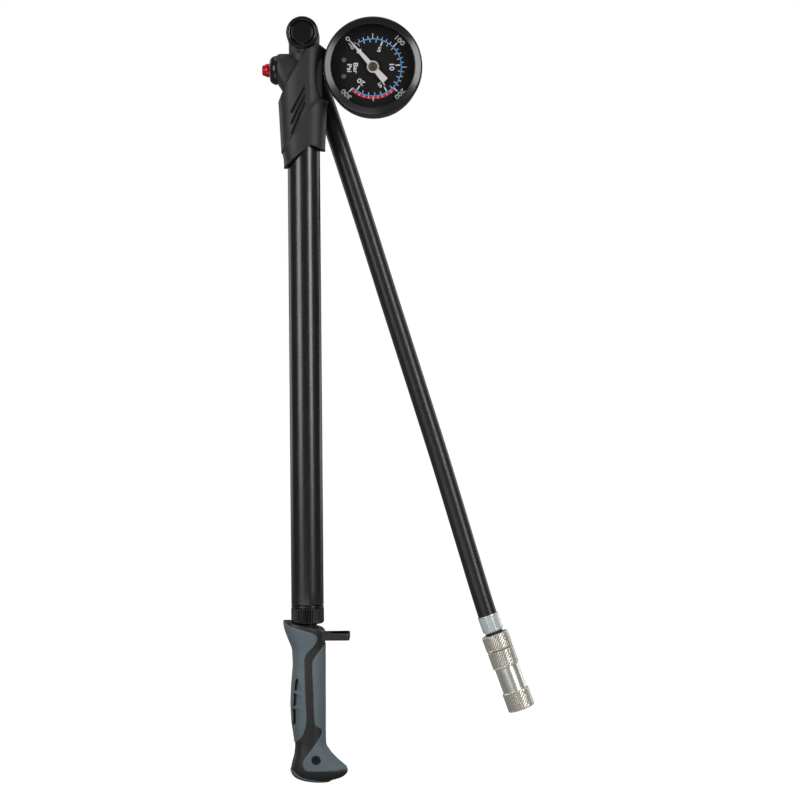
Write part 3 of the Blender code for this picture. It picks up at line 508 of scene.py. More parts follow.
def plate(outline, low, high, edge):
    """A flat plate along Z with rounded edges."""
    levels = [(-edge, low), (-0.3 * edge, low + 0.15 * edge), (0.0, low + edge)]
    levels += [(0.0, high - edge), (-0.3 * edge, high - 0.15 * edge), (-edge, high)]
    rings = [(offset_outline(outline, inset), height) for inset, height in levels]
    return capped_tube(np.array([[(*point, height) for point in ring] for ring, height in rings]))


# ---------- hose
def smooth_route(points, spacing):
    """Points about a spacing apart on a Catmull-Rom curve through the given ones."""
    padded = [points[0] * 2 - points[1], *points, points[-1] * 2 - points[-2]]
    route = []
    for a, b, c, d in zip(padded, padded[1:], padded[2:], padded[3:]):
        pieces = max(1, round((c - b).length / spacing))
        for step in range(pieces):
            t = step / pieces
            square = (2 * a - 5 * b + 4 * c - d) * t**2
            cube = (3 * b - a - 3 * c + d) * t**3
            route.append(0.5 * (2 * b + (c - a) * t + square + cube))
    return route + [points[-1]]


def make_hose():
    """The pressure hose as one curve, from inside its upper ferrule into the chuck's."""
    down = Vector((math.sin(CHUCK_LEAN), 0, -math.cos(CHUCK_LEAN)))
    end = Vector((CHUCK_X, HOSE_PLANE, CHUCK_Z)) - down * 0.3
    points = [Vector((x, HOSE_PLANE, z)) for x, z in HOSE_ROUTE] + [end]
    curve = bpy.data.curves.new("rubber_hose", "CURVE")
    curve.dimensions = "3D"
    curve.bevel_depth = HOSE_RADIUS * MM
    curve.bevel_resolution = 9
    curve.use_fill_caps = True
    route = smooth_route(points, 6.0)
    spline = curve.splines.new("POLY")
    spline.points.add(len(route) - 1)
    for point, place in zip(spline.points, route):
        point.co = (*((place - Vector((0, 0, GRIP_MIDDLE))) * MM), 1.0)
    hose = new_object("rubber_hose", curve)
    place_piece(hose, Matrix.Identity(4), "hose_rubber", "hose_arm", "hose")
    return hose, route


hose, hose_route = make_hose()


# ---------- hose ends
CRIMP_JAWS = 10


def crimped(outer, low, high):
    """A shape for turned(): flats pressed into the outer wall between low and high by the crimping jaws."""
    half = np.pi / CRIMP_JAWS

    def shape(angle, radius, height):
        facet = np.abs((angle / (2 * half)) % 1.0 - 0.5) * 2
        flat = np.cos(half) / np.cos(facet * half)
        near = smooth_step((radius - (outer - 0.3)) / 0.25)
        return radius * (1 + (flat - 1) * between(height, low, high, 0.35) * near)

    return shape


def make_hose_ends():
    """Crimped ferrules at both ends of the hose and the eye that turns on the swivel."""
    eye = [(3.35, -4.0), (6.6, -4.0, 0.5), (6.6, 4.0, 0.5), (3.35, 4.0)]
    ring = turned(eye, segments=96)
    neck = turned([(0, -9.4), (3.9, -9.4), (3.9, -5.2), (0, -5.2)], segments=64)
    to_eye = np.array((HOSE_EYE.inverted() @ HOSE_TOP).to_3x3())
    neck = (neck[0] @ to_eye.T, neck[1])
    moulded_piece("banjo_eye", [ring, neck], HOSE_EYE, "black_anodised", "hose_arm", "swivel_eye",
                  FINISHES["gauge_black"])

    top = [(1.3, -9.2), (4.1, -9.2, 0.3), (4.65, -9.9, 0.3), (4.65, -19.4, 0.3), (4.28, -19.4, 0.1)]
    top += [(1.3, -18.0)]
    crimp = crimped(4.65, -18.6, -10.4)
    turned_piece("ferrule_top", top, HOSE_TOP, "zinc_plate", "hose_arm", "hose_ferrule_upper",
                 spacing=0.5, shape=crimp)

    low = [(2.6, -7.4), (3.8, -7.4, 0.8), (4.6, -6.6, 0.8), (4.6, 0.4, 0.25), (4.28, 0.4, 0.1)]
    low += [(4.28, -1.0), (2.6, -1.2)]
    crimp = crimped(4.6, -6.4, 0.0)
    turned_piece("ferrule_bottom", low, CHUCK, "zinc_plate", "hose_arm", "hose_ferrule_lower",
                 segments=160, spacing=0.3, shape=crimp)


# ---------- chuck
KNURL_COUNT = 28
KNURL_DEPTH = 0.8
KNURL_LAND = 0.3
KNURL_TWIST = 1 / 6.5
KNURL_HELIX = KNURL_COUNT * KNURL_TWIST / (2 * math.pi)
KNURL_COLUMNS = 14 * KNURL_COUNT


def knurl(outer, low, high):
    """A shape for turned(): a helical knurl on an outer wall between two heights."""
    return ribs(KNURL_COUNT, KNURL_DEPTH, outer, low, high, KNURL_HELIX, land=KNURL_LAND)


def knurled_piece(name, profile, shape, body, node):
    """A turned and nickel-plated part of the chuck, whose columns of points follow its knurl."""
    turned_piece(name, profile, CHUCK, "nickel_plate", body, node, crease=50,
                 segments=KNURL_COLUMNS, spacing=0.3, shape=shape, twist=KNURL_TWIST)


def make_chuck():
    """Knurled locking knob, valve sleeve with two knurled bands, and the washer over them."""
    knob = [(3.3, -15.35), (5.6, -15.35, 0.15), (6.0, -15.0, 0.3), (6.0, -8.8, 0.3), (5.5, -8.4, 0.2)]
    knob += [(3.3, -8.4)]
    knurled_piece("knurled_knob", knob, knurl(6.0, -15.3, -8.5), "knob", "valve_knob")

    sleeve = [(3.85, -43.3, 0.3), (5.4, -43.3, 0.2), (5.95, -42.9, 0.3), (5.95, -35.0, 0.1)]
    sleeve += [(5.3, -34.6, 0.1), (5.3, -23.6, 0.1), (5.9, -23.2, 0.1), (5.9, -15.9, 0.3)]
    sleeve += [(5.4, -15.65, 0.1), (3.3, -15.65), (3.3, -23.0), (4.3, -23.0), (4.3, -29.5), (3.85, -29.5)]
    upper = knurl(5.9, -23.3, -15.8)
    lower = knurl(5.95, -43.2, -34.9)

    def both_bands(angle, radius, height):
        return np.where(height > -29, upper(angle, radius, height), lower(angle, radius, height))

    knurled_piece("knurled_sleeve", sleeve, both_bands, "sleeve", "valve_sleeve")
    washer = [(2.6, -8.2), (3.9, -8.2), (3.9, -7.5), (2.6, -7.5)]
    turned_piece("dark_washer", washer, CHUCK, "seal_rubber", "hose_arm", "chuck_washer", radius=0.15)


# ---------- handle
CORE_RECESS = 0.3
PAD_WALL = 1.75
GILL_LIP = 0.5
GILL_SLIT = 1.0
POCKET_DEPTH = 0.9
SCREW_X = 3.4
SCREW_HEIGHT = 10.4
HANDLE_FULLNESS = 2.4
HANDLE_COLUMNS = 280


def oval_grid(table, columns, fullness):
    """Points on oval cross-sections: one row for each, counted from its right edge."""
    angle = round_angles(columns)
    low, high, left, right, depth = (column[:, None] for column in table.T)
    across = signed_power(np.cos(angle), 2 / fullness)
    inward = signed_power(np.sin(angle), 2 / fullness)
    x = (left + right) / 2 + (right - left) / 2 * across
    y = depth * inward
    z = low + (high - low) * (1 + across) / 2
    return np.stack(np.broadcast_arrays(x, y, z), axis=-1)


def pocket_depth(x, z):
    """Depth of the gills below the left pad's surface: steep on the left, running out to the right."""
    depth = np.zeros(x.shape)
    for outline, run_out, _ in GILLS:
        inside = distance_inside(outline, x, z)
        left = min(corner[0] for corner in outline)
        ramp = np.clip((run_out - x) / (run_out - left), 0, 1) ** 0.8
        depth = np.maximum(depth, POCKET_DEPTH * ramp * smooth_step(inside / 0.35))
    return depth


def gill_slits(x, z):
    """Where the left edge of a gill is open right through the soft pad."""
    open_here = np.zeros(x.shape, bool)
    for outline, _, count in GILLS:
        from_edge = distance_to_line(outline[:count], x, z)[0]
        open_here |= (distance_inside(outline, x, z) > 0) & (from_edge < GILL_SLIT)
    return open_here


def core_top(rim):
    """Rows of points that close the core over its top rim and down round the rod."""
    slope = np.ptp(rim[:, 2]) / np.ptp(rim[:, 0])
    rows = []
    for inset, drop in ((0.9, -0.15), (1.5, -0.05), (1.8, 0.5), (2.1, 0.9)):
        ring = rim[:, :2] * (1 - inset / np.linalg.norm(rim[:, :2], axis=1, keepdims=True))
        height = rim[:, 2] - (ring[:, 0] - rim[:, 0]) * slope - drop
        rows.append(np.column_stack([ring, height])[None])
    angle = np.arctan2(rim[:, 1], rim[:, 0])
    for radius, drop in ((5.0, 0.9), (4.5, 1.2), (4.5, 5.0), (0.0, 5.0)):
        ring = np.column_stack([radius * np.cos(angle), radius * np.sin(angle)])
        height = rim[:, 2].mean() + (rim[:, 0].mean() - ring[:, 0]) * slope - drop
        rows.append(np.column_stack([ring, height])[None])
    return rows


def fork_outline():
    """The hose clip seen from above: one prong, the half-round slot and the mirrored prong."""
    side = -FORK_SLOT - FORK_PRONG
    prong = [(2.0, side + 0.9), (9.0, side + 0.2), (FORK_REACH - 1.2, side), (FORK_REACH - 0.3, side + 0.4)]
    prong += [(FORK_REACH, side + 1.0), (FORK_REACH, -FORK_SLOT - 0.2), (FORK_REACH - 0.3, -FORK_SLOT)]
    turns = np.linspace(-math.pi / 2, -3 * math.pi / 2, 25)
    slot = [(FORK_CENTRE + FORK_SLOT * math.cos(turn), FORK_SLOT * math.sin(turn)) for turn in turns]
    return prong + slot + [(x, -y) for x, y in reversed(prong)]


def make_core(surface, normal, covered, to_gill):
    """Hard core with the hose clip: it sinks under the pads, less so behind the open gills."""
    backed = smooth_step(1 + (to_gill + 1.3) / 3.0)
    sunk = CORE_RECESS + (2.0 - 1.3 * backed) * smooth_step((covered - 0.3) / 1.0)
    points = np.concatenate([surface - normal * sunk[..., None], *core_top(surface[-1])])
    faces = grid_faces(*points.shape[:2], False, True).tolist() + [list(range(HANDLE_COLUMNS))]
    body = (points.reshape(-1, 3), faces)
    fork = plate(fork_outline(), FORK_LOW, FORK_HIGH, 0.45)
    moulded_piece("moulded_core", [body, fork], PUMP, "handle_plastic", "handle", "handle_core", crease=50)


def make_pad(name, surface, normal, inside, to_gill):
    """One soft pad with rolled edges: the left one has the gills, the right one the screw's hole."""
    x = surface[..., 0]
    z = surface[..., 2]
    proud = -1.3 * (1 - smooth_step((inside + 0.55) / 0.95))
    wall = np.full(x.shape, PAD_WALL)
    keep = inside > -0.75
    if name == "soft_pad_left":
        pockets = pocket_depth(x, z)
        proud = proud - pockets
        wall = PAD_WALL - (PAD_WALL - GILL_LIP) * smooth_step(1 + to_gill / 1.5)
        wall = np.maximum(wall, pockets + 0.3)
        keep = keep & ~gill_slits(x, z)
    if name == "soft_pad_right":
        hole = np.hypot(x - SCREW_X, z - SCREW_HEIGHT)
        dimple = 1.1 * (1 - smooth_step((hole - 1.75) / 0.3))
        proud = np.where(surface[..., 1] < 0, proud - dimple, proud)
    shell = shell_of(surface + normal * proud[..., None], surface - normal * wall[..., None], keep)
    moulded_piece(name, [shell], PUMP, "grip_rubber", "handle", PADS[name][0], crease=75)


def make_handle():
    """Hard core with three soft pads moulded into it, the screw in its foot and the rod it carries."""
    surface = oval_grid(even_sections(HANDLE_SECTIONS, 0.25, 16), HANDLE_COLUMNS, HANDLE_FULLNESS)
    normal = grid_normals(surface)
    x = surface[..., 0]
    z = surface[..., 2]
    inside = {name: distance_inside(soften_outline(outline), x, z) for name, (_, outline) in PADS.items()}
    to_gill = np.maximum.reduce([distance_inside(outline, x, z) for outline, _, _ in GILLS])
    make_core(surface, normal, np.maximum.reduce(list(inside.values())), to_gill)
    for name in PADS:
        make_pad(name, surface, normal, inside[name], to_gill)

    head = [(0, -7.4, 0), (0.9, -7.4, 0), (0.95, -8.0, 0.05), (1.4, -8.1, 0.1), (1.7, -7.7, 0.2)]
    head += [(1.7, -6.6), (1.15, -6.6), (1.15, 3.4), (0, 3.4)]
    place = frame_at(SCREW_X, 0, SCREW_HEIGHT, -math.pi / 2)
    turned_piece("foot_screw", head, place, "black_steel", "handle", "handle_screw",
                 radius=0.1, segments=48, shape=hexagon(0.98, -8.2, -7.3))

    rod = [(0, 26.5), (4.0, 26.5), (4.0, 276.0, 0.4), (1.9, 276.0), (1.9, 284.3), (0, 284.3)]
    turned_piece("polished_rod", rod, PUMP, "black_steel", "handle", "piston_rod", radius=0.2)


def hexagon(radius, low, high):
    """A shape for turned(): rings no wider than radius between two heights follow a hexagon."""

    def shape(angle, ring, height):
        turn = (angle + np.pi / 6) % (np.pi / 3) - np.pi / 6
        socket = (ring < radius) & (height > low) & (height < high)
        return np.where(socket, ring * np.cos(np.pi / 6) / np.cos(turn), ring)

    return shape


# ---------- barrel
COLLAR_RIBS = 40


def make_barrel():
    """Anodised tube and the ribbed collar that closes its lower end."""
    tube = [(5.8, 76.7), (7.0, 76.7, 0.4), (7.0, 286.0), (5.8, 286.0)]
    turned_piece("black_tube", tube, PUMP, "black_anodised", "barrel", "barrel_tube",
                 radius=0.2, segments=128, spacing=6.0)

    collar = [(4.4, 68.6), (6.3, 68.6, 0.3), (7.1, 69.3, 0.4), (7.1, 75.3, 0.1), (6.7, 75.5, 0.1)]
    collar += [(7.05, 75.8, 0.1), (7.05, 76.4, 0.15), (5.5, 76.4), (5.5, 80.0), (4.4, 80.0)]
    collar += [(4.4, 72.8), (5.4, 72.8), (5.4, 70.2), (4.4, 70.2)]
    turned_piece("ribbed_collar", collar, PUMP, "black_anodised", "barrel", "gland_collar",
                 FINISHES["gauge_black"], 60, radius=0.15, segments=12 * COLLAR_RIBS, spacing=0.3,
                 shape=ribs(COLLAR_RIBS, 0.5, 7.1, 68.9, 75.3, fade=0.35))


# ---------- head
HEAD_FULLNESS = 2.5
HEAD_COLUMNS = 120
COVER_FULLNESS = 2.5
COVER_COLUMNS = 190
COVER_WALL = 1.5
COVER_NOTCH = 7.55
SEAM_GAP = 0.08
SEAM_ANGLE = 0.012
# Vents in the cover: ends of the highest one, how much lower each next one's two ends are, its section
VENTS = 3
VENT_LOW = np.array([-5.3, 288.3])
VENT_HIGH = np.array([0.9, 299.8])
VENT_DROP = (4.6, 3.3)
VENT_WIDTH = 1.2
VENT_DEPTH = 1.35


def cover_profile():
    """Smooth left edge, right edge and half depth of the cover against height."""
    table = np.array(COVER_SECTIONS)
    height = np.arange(table[0, 0], table[-1, 0] + 0.001, 0.25)
    return height, softened(resampled(table[:, 1:], table[:, 0], height), 14)


PROFILE_HEIGHT, PROFILE = cover_profile()


def cover_surface(height, angle):
    """Points on the cover's smooth outside at given heights and angles."""
    left, right, depth = (np.interp(height, PROFILE_HEIGHT, PROFILE[:, k]) for k in range(3))
    x = (left + right) / 2 + (right - left) / 2 * signed_power(np.cos(angle), 2 / COVER_FULLNESS)
    y = depth * signed_power(np.sin(angle), 2 / COVER_FULLNESS)
    return np.stack([x, y, height], axis=-1)


def cover_normals(height, angle):
    """Outward normals of the cover's smooth outside."""
    small = 0.01
    up = cover_surface(height + small, angle) - cover_surface(height - small, angle)
    around = cover_surface(height, angle + small) - cover_surface(height, angle - small)
    return unit(np.cross(around, up))


def cover_relief(x, z):
    """Height of the cover's details over its smooth outside: vents, ridge and turned-back right side."""
    relief = np.zeros(x.shape)
    for step in range(VENTS):
        low = VENT_LOW - (0, VENT_DROP[0] * step)
        high = VENT_HIGH - (0, VENT_DROP[1] * step)
        length = np.linalg.norm(high - low)
        run, rise = (high - low) / length
        along = (x - low[0]) * run + (z - low[1]) * rise
        aside = (x - low[0]) * rise - (z - low[1]) * run
        ends = smooth_step((along + 0.2) / 0.5) * smooth_step((length - along + 0.4) / 1.6)
        slope = np.clip(1 - aside / VENT_WIDTH, 0, 1)
        relief -= VENT_DEPTH * ends * slope * smooth_step((aside + 0.15) / 0.4)
    distance, above, share = distance_to_line(COVER_RIDGE, x, z)
    ridge_height = 0.75 - 0.5 * smooth_step(share * 1.3)
    relief += ridge_height * np.exp(-((distance / 0.55) ** 2))
    relief += 0.28 * smooth_step(0.5 + above * distance / 1.6) - 0.28
    turned_back = smooth_step((x - 2.6) / 6.4) * smooth_step(0.5 + above * distance / 2.0)
    return relief - 1.1 * turned_back


def make_cover(name, node, first, last):
    """One moulded cover shell between two angles: outside with its details, rolled edges and inside.

    Each row is a share of the way from the lower edge to the upper one, a shift in height and a level
    over the smooth outside.
    """
    rows = [(0.0, 6.0, -COVER_WALL), (0.0, 0.4, -COVER_WALL), (0.0, 0.0, -COVER_WALL + 0.25)]
    rows += [(0.0, -0.02, -0.35), (0.0, 0.05, -0.12), (0.0, 0.2, -0.02), (0.0, 0.35, 0.0)]
    rows += [(t, 0.0, 0.0) for t in np.linspace(0, 1, 230)[2:-2]]
    rows += [(1.0, -0.5, 0.0), (1.0, -0.22, -0.03), (1.0, -0.06, -0.16), (1.0, 0.0, -0.4), (1.0, 0.0, -2.6)]
    rows += [(1.0, -2.0, -2.6), (0.5, 0.0, -COVER_WALL)]
    share, shift, level = (np.array(column)[:, None] for column in zip(*rows))
    angle = np.repeat(np.linspace(first, last, COVER_COLUMNS)[None, :], len(rows), axis=0)
    x = 9.0 * signed_power(np.cos(angle), 2 / COVER_FULLNESS)
    for _ in range(8):
        low = np.interp(x, *zip(*COVER_SKIRT))
        high = np.interp(x, *zip(*COVER_TOP))
        notch = SWIVEL_HEIGHT - np.sqrt(np.maximum(COVER_NOTCH**2 - x**2, 0))
        high = np.where(np.abs(x) < COVER_NOTCH - 0.05, np.minimum(high, notch), high)
        z = low + (high - low) * share + shift
        x = cover_surface(z, angle)[..., 0]
    outside = cover_surface(z, angle)
    normal = cover_normals(z, angle)
    shown = between(z, low, high, 0.8) * (level > -1.0)
    seam = np.minimum(angle - first, last - angle)
    rolled = -0.2 * (1 - smooth_step(seam / 0.05)) * (level > -1.0)
    points = outside + normal * (level + cover_relief(x, z) * shown + rolled)[..., None]
    side = np.where(np.sin(angle) < 0, -1.0, 1.0)
    points[..., 1] = side * np.maximum(side * points[..., 1], SEAM_GAP)
    faces = grid_faces(len(rows), COVER_COLUMNS, True, False).tolist()
    corners = np.arange(len(rows)) * COVER_COLUMNS
    faces += [corners.tolist(), (corners + COVER_COLUMNS - 1).tolist()]
    moulded_piece(name, [(points.reshape(-1, 3), faces)], PUMP, "head_plastic", "barrel", node, crease=55)


def head_block():
    """The moulding that carries the bleed valve, lofted along X."""
    table = np.array(HEAD_SECTIONS)
    dense = softened(resampled(table, np.arange(len(table)), np.linspace(0, len(table) - 1, 90)), 6)
    angle = round_angles(HEAD_COLUMNS)
    along, low, high, depth = (column[:, None] for column in dense.T)
    y = depth * signed_power(np.cos(angle), 2 / HEAD_FULLNESS)
    z = (low + high) / 2 + (high - low) / 2 * signed_power(np.sin(angle), 2 / HEAD_FULLNESS)
    return capped_tube(np.stack([along + 0 * angle, y, z], axis=-1))


def make_head():
    """Moulded head with its ribbed neck and the socket round the barrel."""
    neck = [(0, 310.0), (6.1, 310.0), (6.1, 320.0), (0, 320.0)]
    neck = turned(neck, 0.1, 240, spacing=0.4, shape=ribs(12, 0.75, 6.1, 314.3, 319.5, fade=0.6))
    socket = turned([(7.25, 277.0), (8.3, 277.0), (8.3, 293.0), (7.25, 293.0)], 0.2)
    parts = [head_block(), neck, socket]
    moulded_piece("head_moulding", parts, PUMP, "head_plastic", "barrel", "head_body", crease=50)


def make_swivel():
    """Swivel ring on the head, the hollow bolt through it and the cap nut behind the hose's eye."""
    ring = [(3.3, -5.5), (5.2, -5.5, 0.1), (5.35, -6.9, 0.15), (5.8, -7.1, 0.15), (6.5, -7.1, 0.4)]
    ring += [(6.95, -6.6, 0.5), (6.95, 9.0, 0.4), (6.6, 9.3, 0.2), (3.3, 9.3)]
    turned_piece("swivel_housing", ring, SWIVEL_RING, "head_plastic", "barrel", None, GLOSSY_BLACK,
                 radius=0.2, segments=128)
    bolt = [(0, -6.55, 0), (2.0, -6.55, 0), (3.8, -6.7, 0.5), (4.5, -6.85, 0.2), (4.95, -6.5, 0.3)]
    bolt += [(4.95, -5.6), (3.0, -5.6), (3.0, 21.0), (1.0, 21.0), (1.0, -3.0), (0, -3.0)]
    turned_piece("swivel_axle", bolt, SWIVEL_RING, "black_anodised", "barrel", "swivel_bolt", GLOSSY_BLACK,
                 radius=0.15)
    nut = [(3.3, 19.2), (5.4, 19.2, 0.3), (5.4, 21.5, 0.5), (4.6, 22.3, 0.4), (2.3, 22.3, 0.1)]
    nut += [(2.2, 21.5, 0.05), (0, 21.5, 0), (0, 21.2, 0), (3.3, 21.2)]
    turned_piece("swivel_cap_nut", nut, SWIVEL_RING, "black_anodised", "barrel", "swivel_nut",
                 FINISHES["gauge_black"], radius=0.2, shape=hexagon(2.35, 21.45, 22.5))


def make_bleed_valve():
    """Cap of the bleed valve and the red button in it."""
    cap = [(3.2, -14.3, 0.15), (4.4, -14.35, 0.5), (5.6, -13.5, 0.8), (6.25, -12.0, 0.5)]
    cap += [(6.25, -11.1, 0.2), (3.2, -11.1)]
    turned_piece("gloss_cap", cap, VALVE, "black_anodised", "barrel", "bleed_cap", GLOSSY_BLACK, radius=0.2)
    button = [(0, -17.65, 0), (1.8, -17.65, 0.3), (2.3, -17.2, 0.3), (2.35, -16.5, 0.15), (2.7, -16.2, 0.2)]
    button += [(2.9, -15.4, 0.4), (2.9, -13.2), (1.1, -13.2), (1.1, -6.4), (0, -6.4)]
    turned_piece("red_button", button, VALVE, "red_anodised", "button", "bleed_button",
                 radius=0.2, segments=64)


# ---------- gauge
PRINT_LOW = 7.16
PRINT_HIGH = 7.24
LETTER_SPREAD = 0.018
LETTER_STRETCH = 1.2
SCALE_START = 135.0
POUND_MARKS = 30
POUND_STEP = 270.0 / POUND_MARKS
BAR_MARKS = 20
BAR_STEP = 13.05
BEZEL_RIBS = 110


def outward(degrees):
    """Unit vector on the dial at an angle from its +X."""
    return np.array([math.cos(math.radians(degrees)), math.sin(math.radians(degrees))])


def ring_mark(inner, outer, start, end, low, high):
    """A thin raised arc on the dial, angles in degrees."""
    steps = max(2, int(abs(end - start) / 2))
    section = ((inner, low), (outer, low), (outer, high), (inner, high))
    turns = np.linspace(start, end, steps + 1)
    return capped_tube(np.array([[(*(outward(turn) * r), h) for r, h in section] for turn in turns]))


def tick(degrees, inner, outer, width):
    """A straight raised mark on the dial, pointing at its centre."""
    out = outward(degrees)
    side = np.array([-out[1], out[0]]) * width / 2
    base = [out * inner - side, out * outer - side, out * outer + side, out * inner + side]
    return capped_tube(np.array([[(*point, h) for point in base] for h in (PRINT_LOW, PRINT_HIGH)]))


def lettering(words, size, x, y, turn):
    """A word raised on the dial, turned by degrees about its own middle."""
    curve = bpy.data.curves.new("words", "FONT")
    curve.body = words
    curve.size = size
    curve.align_x = "CENTER"
    curve.align_y = "CENTER"
    curve.offset = LETTER_SPREAD * size
    curve.extrude = (PRINT_HIGH - PRINT_LOW) / 2
    writer = new_object("words", curve)
    bpy.context.view_layer.update()
    mesh = bpy.data.meshes.new_from_object(writer.evaluated_get(bpy.context.evaluated_depsgraph_get()))
    points = np.array([v.co for v in mesh.vertices])
    faces = [list(polygon.vertices) for polygon in mesh.polygons]
    bpy.data.objects.remove(writer)
    bpy.data.meshes.remove(mesh)
    cos, sin = outward(turn)
    points = points * (LETTER_STRETCH, 1, 1) @ np.array([[cos, sin, 0], [-sin, cos, 0], [0, 0, 1]])
    return points + (x, y, (PRINT_LOW + PRINT_HIGH) / 2), faces


def radial_word(words, size, degrees, radius):
    """A word that stands on the line from the dial's centre."""
    x, y = outward(degrees) * radius
    return lettering(words, size, x, y, degrees - 90)


def make_dial():
    """Dial with two scales round one circle: pounds outside it, bar inside it."""
    disc = [(1.4, 6.6), (18.9, 6.6), (18.9, 7.2), (1.4, 7.2)]
    turned_piece("dial_disc", disc, GAUGE, "dial_face", "barrel", "dial_plate", radius=0.1, segments=128)

    white = []
    for step in range(POUND_MARKS + 1):
        minor = (12.4, 14.5, 0.34) if step % 5 == 0 else (12.4, 13.5, 0.26)
        mark = (12.5, 14.7, 0.5) if step % 10 == 0 else minor
        white.append(tick(SCALE_START - POUND_STEP * step, *mark))
    for step in range(1, BAR_MARKS + 1):
        mark = (9.7, 11.8, 0.56) if step % 5 == 0 else (10.8, 11.9, 0.26)
        white.append(tick(SCALE_START - BAR_STEP * step, *mark))
    for words, degrees in (("0", 131), ("100", 45), ("200", -45), ("300", -135)):
        white.append(radial_word(words, 2.9, degrees, 16.2))
    for words, degrees in (("5", 70), ("10", 2), ("15", -63), ("20", -130)):
        white.append(radial_word(words, 2.9, degrees, 8.0))
    white.append(radial_word("0", 2.2, 136, 12.2))
    white.append(lettering("Bar", 2.8, -7.5, -0.2, -90))
    white.append(lettering("Psi", 2.8, -10.2, -0.2, -90))
    moulded_piece("scale_white", white, GAUGE, "pointer_white", "barrel", None, PRINT_WHITE, 20)
    blue = [ring_mark(12.0, 12.46, 125, -135, PRINT_LOW, PRINT_HIGH + 0.02)]
    moulded_piece("scale_blue", blue, GAUGE, "dial_face", "barrel", None, PRINT_BLUE, 20)
    red = [ring_mark(12.6, 13.6, -47, -134, PRINT_LOW, PRINT_HIGH - 0.02)]
    moulded_piece("scale_red", red, GAUGE, "dial_face", "barrel", None, PRINT_RED, 20)


def make_gauge():
    """Case with a step on its back, turned bezel with a ribbed rim, and the lens."""
    case = [(0, -9.0), (19.4, -9.0, 0.8), (20.2, -8.2, 0.8), (20.2, 9.8), (19.2, 9.8), (19.2, -7.8)]
    case += [(0, -7.8)]
    step = turned([(12.0, -9.5), (14.0, -9.5), (14.0, -8.8), (12.0, -8.8)], 0.2, 128)
    parts = [turned(case, 0.3, 128), step]
    moulded_piece("turned_case", parts, GAUGE, "gauge_black", "barrel", "gauge_case")

    bezel = [(20.5, 6.0), (20.9, 6.0, 0.2), (21.25, 6.4, 0.2), (21.25, 9.4, 0.1), (21.0, 9.6, 0.1)]
    bezel += [(21.15, 9.9, 0.2), (21.15, 11.6, 0.4), (20.7, 12.1, 0.4), (18.1, 13.05, 0.3)]
    bezel += [(17.85, 12.95, 0.15), (17.85, 12.2, 0.1), (20.5, 12.2)]
    turned_piece("turned_bezel", bezel, GAUGE, "gauge_black", "barrel", "gauge_bezel", crease=60,
                 radius=0.2, segments=8 * BEZEL_RIBS, spacing=0.5,
                 shape=ribs(BEZEL_RIBS, 0.35, 21.25, 6.2, 9.5, helix=0.5))
    lens = [(0, 10.8), (20.1, 10.8), (20.1, 12.0), (0, 12.0)]
    turned_piece("clear_window", lens, GAUGE, "clear_lens", "barrel", "gauge_lens",
                 radius=0.15, segments=128)


def make_pointer():
    """White pointer with its hub, resting at zero, and the dull boss that holds it."""
    half = [(15.4, 0.14), (9.7, 0.5), (9.1, 1.15), (8.7, 1.2), (8.3, 0.75), (2.4, 1.0)]
    half += [(-2.3, 1.15), (-7.7, 1.5), (-8.0, 1.3)]
    blade = plate(half + [(px, -py) for px, py in reversed(half)], 8.6, 9.1, 0.08)
    hub = turned([(1.0, 8.4), (2.6, 8.4), (2.6, 9.35, 0.3), (1.9, 9.35, 0.1), (1.0, 9.2)], 0.1, 64)
    place = GAUGE @ Matrix.Rotation(math.radians(131.0), 4, "Z")
    moulded_piece("white_pointer", [blade, hub], place, "pointer_white", "needle", "pointer", crease=30)
    boss = [(0, 9.3), (1.95, 9.3), (1.95, 9.8, 0.2), (1.5, 10.25, 0.3), (0, 10.3, 0)]
    turned_piece("pointer_boss", boss, GAUGE, "steel", "needle", None, DULL_BRONZE, radius=0.15, segments=64)


make_hose_ends()
make_chuck()
make_handle()
make_barrel()
make_head()
make_swivel()
make_bleed_valve()
make_cover("cover_shell_front", "head_cover_front", SEAM_ANGLE - math.pi, -SEAM_ANGLE)
make_cover("cover_shell_rear", "head_cover_rear", SEAM_ANGLE, math.pi - SEAM_ANGLE)
make_dial()
make_gauge()
make_pointer()

# CAD nodes that stay in view or inside take their slot's finish
SLOT_OF_NODE = {part["node"]: part["material_slot"] for part in frame["record"]["subparts"]}
for node, piece in frame["nodes"].items():
    piece.data.materials.clear()
    piece.data.materials.append(FINISHES[SLOT_OF_NODE[node]])


# ---------- studio, in metres but for the gap between the floor and the handle's foot
FLOOR_RADIUS = 6.0
FLOOR_CORNERS = 96
FLOOR_GAP = 0.3
BOX_DISTANCE = 1.3


def seen_or_not(tree, unseen, seen):
    """One shader straight in view and another in reflections and for the light it throws back."""
    ray = add_node(tree, "LightPath").outputs["Is Camera Ray"]
    return add_node(tree, "MixShader", {"Fac": ray, 1: unseen, 2: seen})


def make_world():
    """White behind the pump, and only a dim surround in its reflections."""
    world = bpy.data.worlds.new("studio")
    world.use_nodes = True
    tree = world.node_tree
    tree.nodes.clear()
    dim = add_node(tree, "Background", {"Color": (0.12, 0.12, 0.124, 1.0)})
    white = add_node(tree, "Background", {"Color": (1.0, 1.0, 1.0, 1.0)})
    add_node(tree, "OutputWorld", {"Surface": seen_or_not(tree, dim, white)})
    bpy.context.scene.world = world


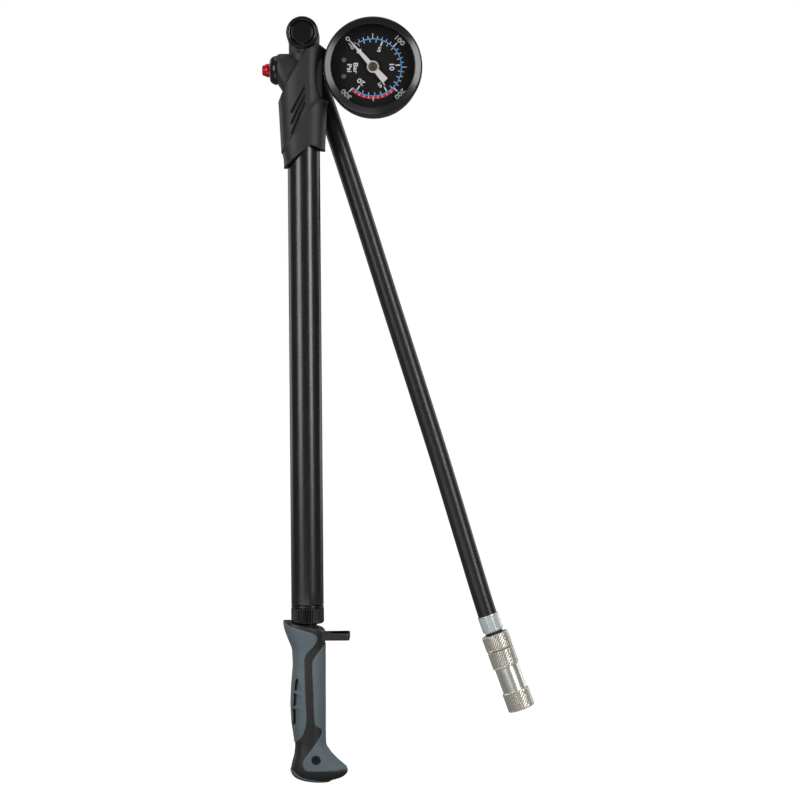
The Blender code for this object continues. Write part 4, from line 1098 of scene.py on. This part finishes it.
def make_floor():
    """A round pale floor that runs out into the white, just under the handle's foot."""
    material = bpy.data.materials.new("studio_floor")
    material.use_nodes = True
    tree = material.node_tree
    tree.nodes.clear()
    grey = add_node(tree, "BsdfDiffuse", {"Color": (0.3, 0.3, 0.3, 1.0)})
    pale = add_node(tree, "BsdfDiffuse", {"Color": (0.85, 0.85, 0.85, 1.0)})
    glow = add_node(tree, "Emission", {"Strength": 1.1})
    bright = add_node(tree, "MixShader", {"Fac": 0.92, 1: pale, 2: glow})
    add_node(tree, "OutputMaterial", {"Surface": seen_or_not(tree, grey, bright)})
    mesh = bpy.data.meshes.new("studio_floor")
    angles = np.linspace(0, 2 * np.pi, FLOOR_CORNERS, endpoint=False)
    level = -(GRIP_MIDDLE + FLOOR_GAP) * MM
    points = [(FLOOR_RADIUS * math.cos(a), FLOOR_RADIUS * math.sin(a), level) for a in angles]
    mesh.from_pydata(points, [], [list(range(FLOOR_CORNERS))])
    mesh.materials.append(material)
    new_object("studio_floor", mesh)


def area_light(name, width, tall, radiance):
    light = bpy.data.lights.new(name, "AREA")
    light.shape = "RECTANGLE"
    light.size = width
    light.size_y = tall
    light.energy = radiance * math.pi * width * tall
    return new_object(name, light)


def softbox(name, azimuth, height, width, tall, radiance):
    """An upright light that faces the pump; azimuth in degrees from its front, + to the right."""
    lamp = area_light(name, width, tall, radiance)
    angle = math.radians(azimuth)
    lamp.location = (BOX_DISTANCE * math.sin(angle), -BOX_DISTANCE * math.cos(angle), height)
    aim = Vector((0.03, 0, 0.16)) - lamp.location
    aim.z *= 0.3
    lamp.rotation_euler = aim.to_track_quat("-Z", "Y").to_euler()


def flat_card(name, place, width, radiance, turn):
    """A level square light, facing down, or up when turned over, that the camera doesn't see."""
    lamp = area_light(name, width, width, radiance)
    lamp.location = place
    lamp.rotation_euler = (turn, 0, 0)
    lamp.visible_camera = False


def make_camera():
    camera = bpy.data.cameras.new("camera")
    camera.lens = 98.9
    camera.sensor_width = 36.0
    camera.clip_start = 0.05
    camera.clip_end = 50.0
    view = new_object("camera", camera)
    view.location = (0.0407, -0.95, 0.1287)
    view.rotation_euler = (math.pi / 2, math.radians(0.48), 0)
    bpy.context.scene.camera = view


make_world()
make_floor()
softbox("left_box", azimuth=-38, height=0.50, width=0.58, tall=0.86, radiance=4.6)
softbox("right_box", azimuth=43, height=0.50, width=0.38, tall=0.86, radiance=7.0)
softbox("left_back", azimuth=-128, height=0.6, width=0.7, tall=1.2, radiance=1.2)
softbox("right_back", azimuth=128, height=0.6, width=0.7, tall=1.2, radiance=1.2)
flat_card("low_card", (-0.12, -0.29, -0.03), width=0.36, radiance=0.9, turn=math.pi)
flat_card("top_card", (0.0, 0.15, 1.3), width=0.9, radiance=1.0, turn=0.0)
make_camera()
bpy.context.scene.view_settings.view_transform = "Standard"
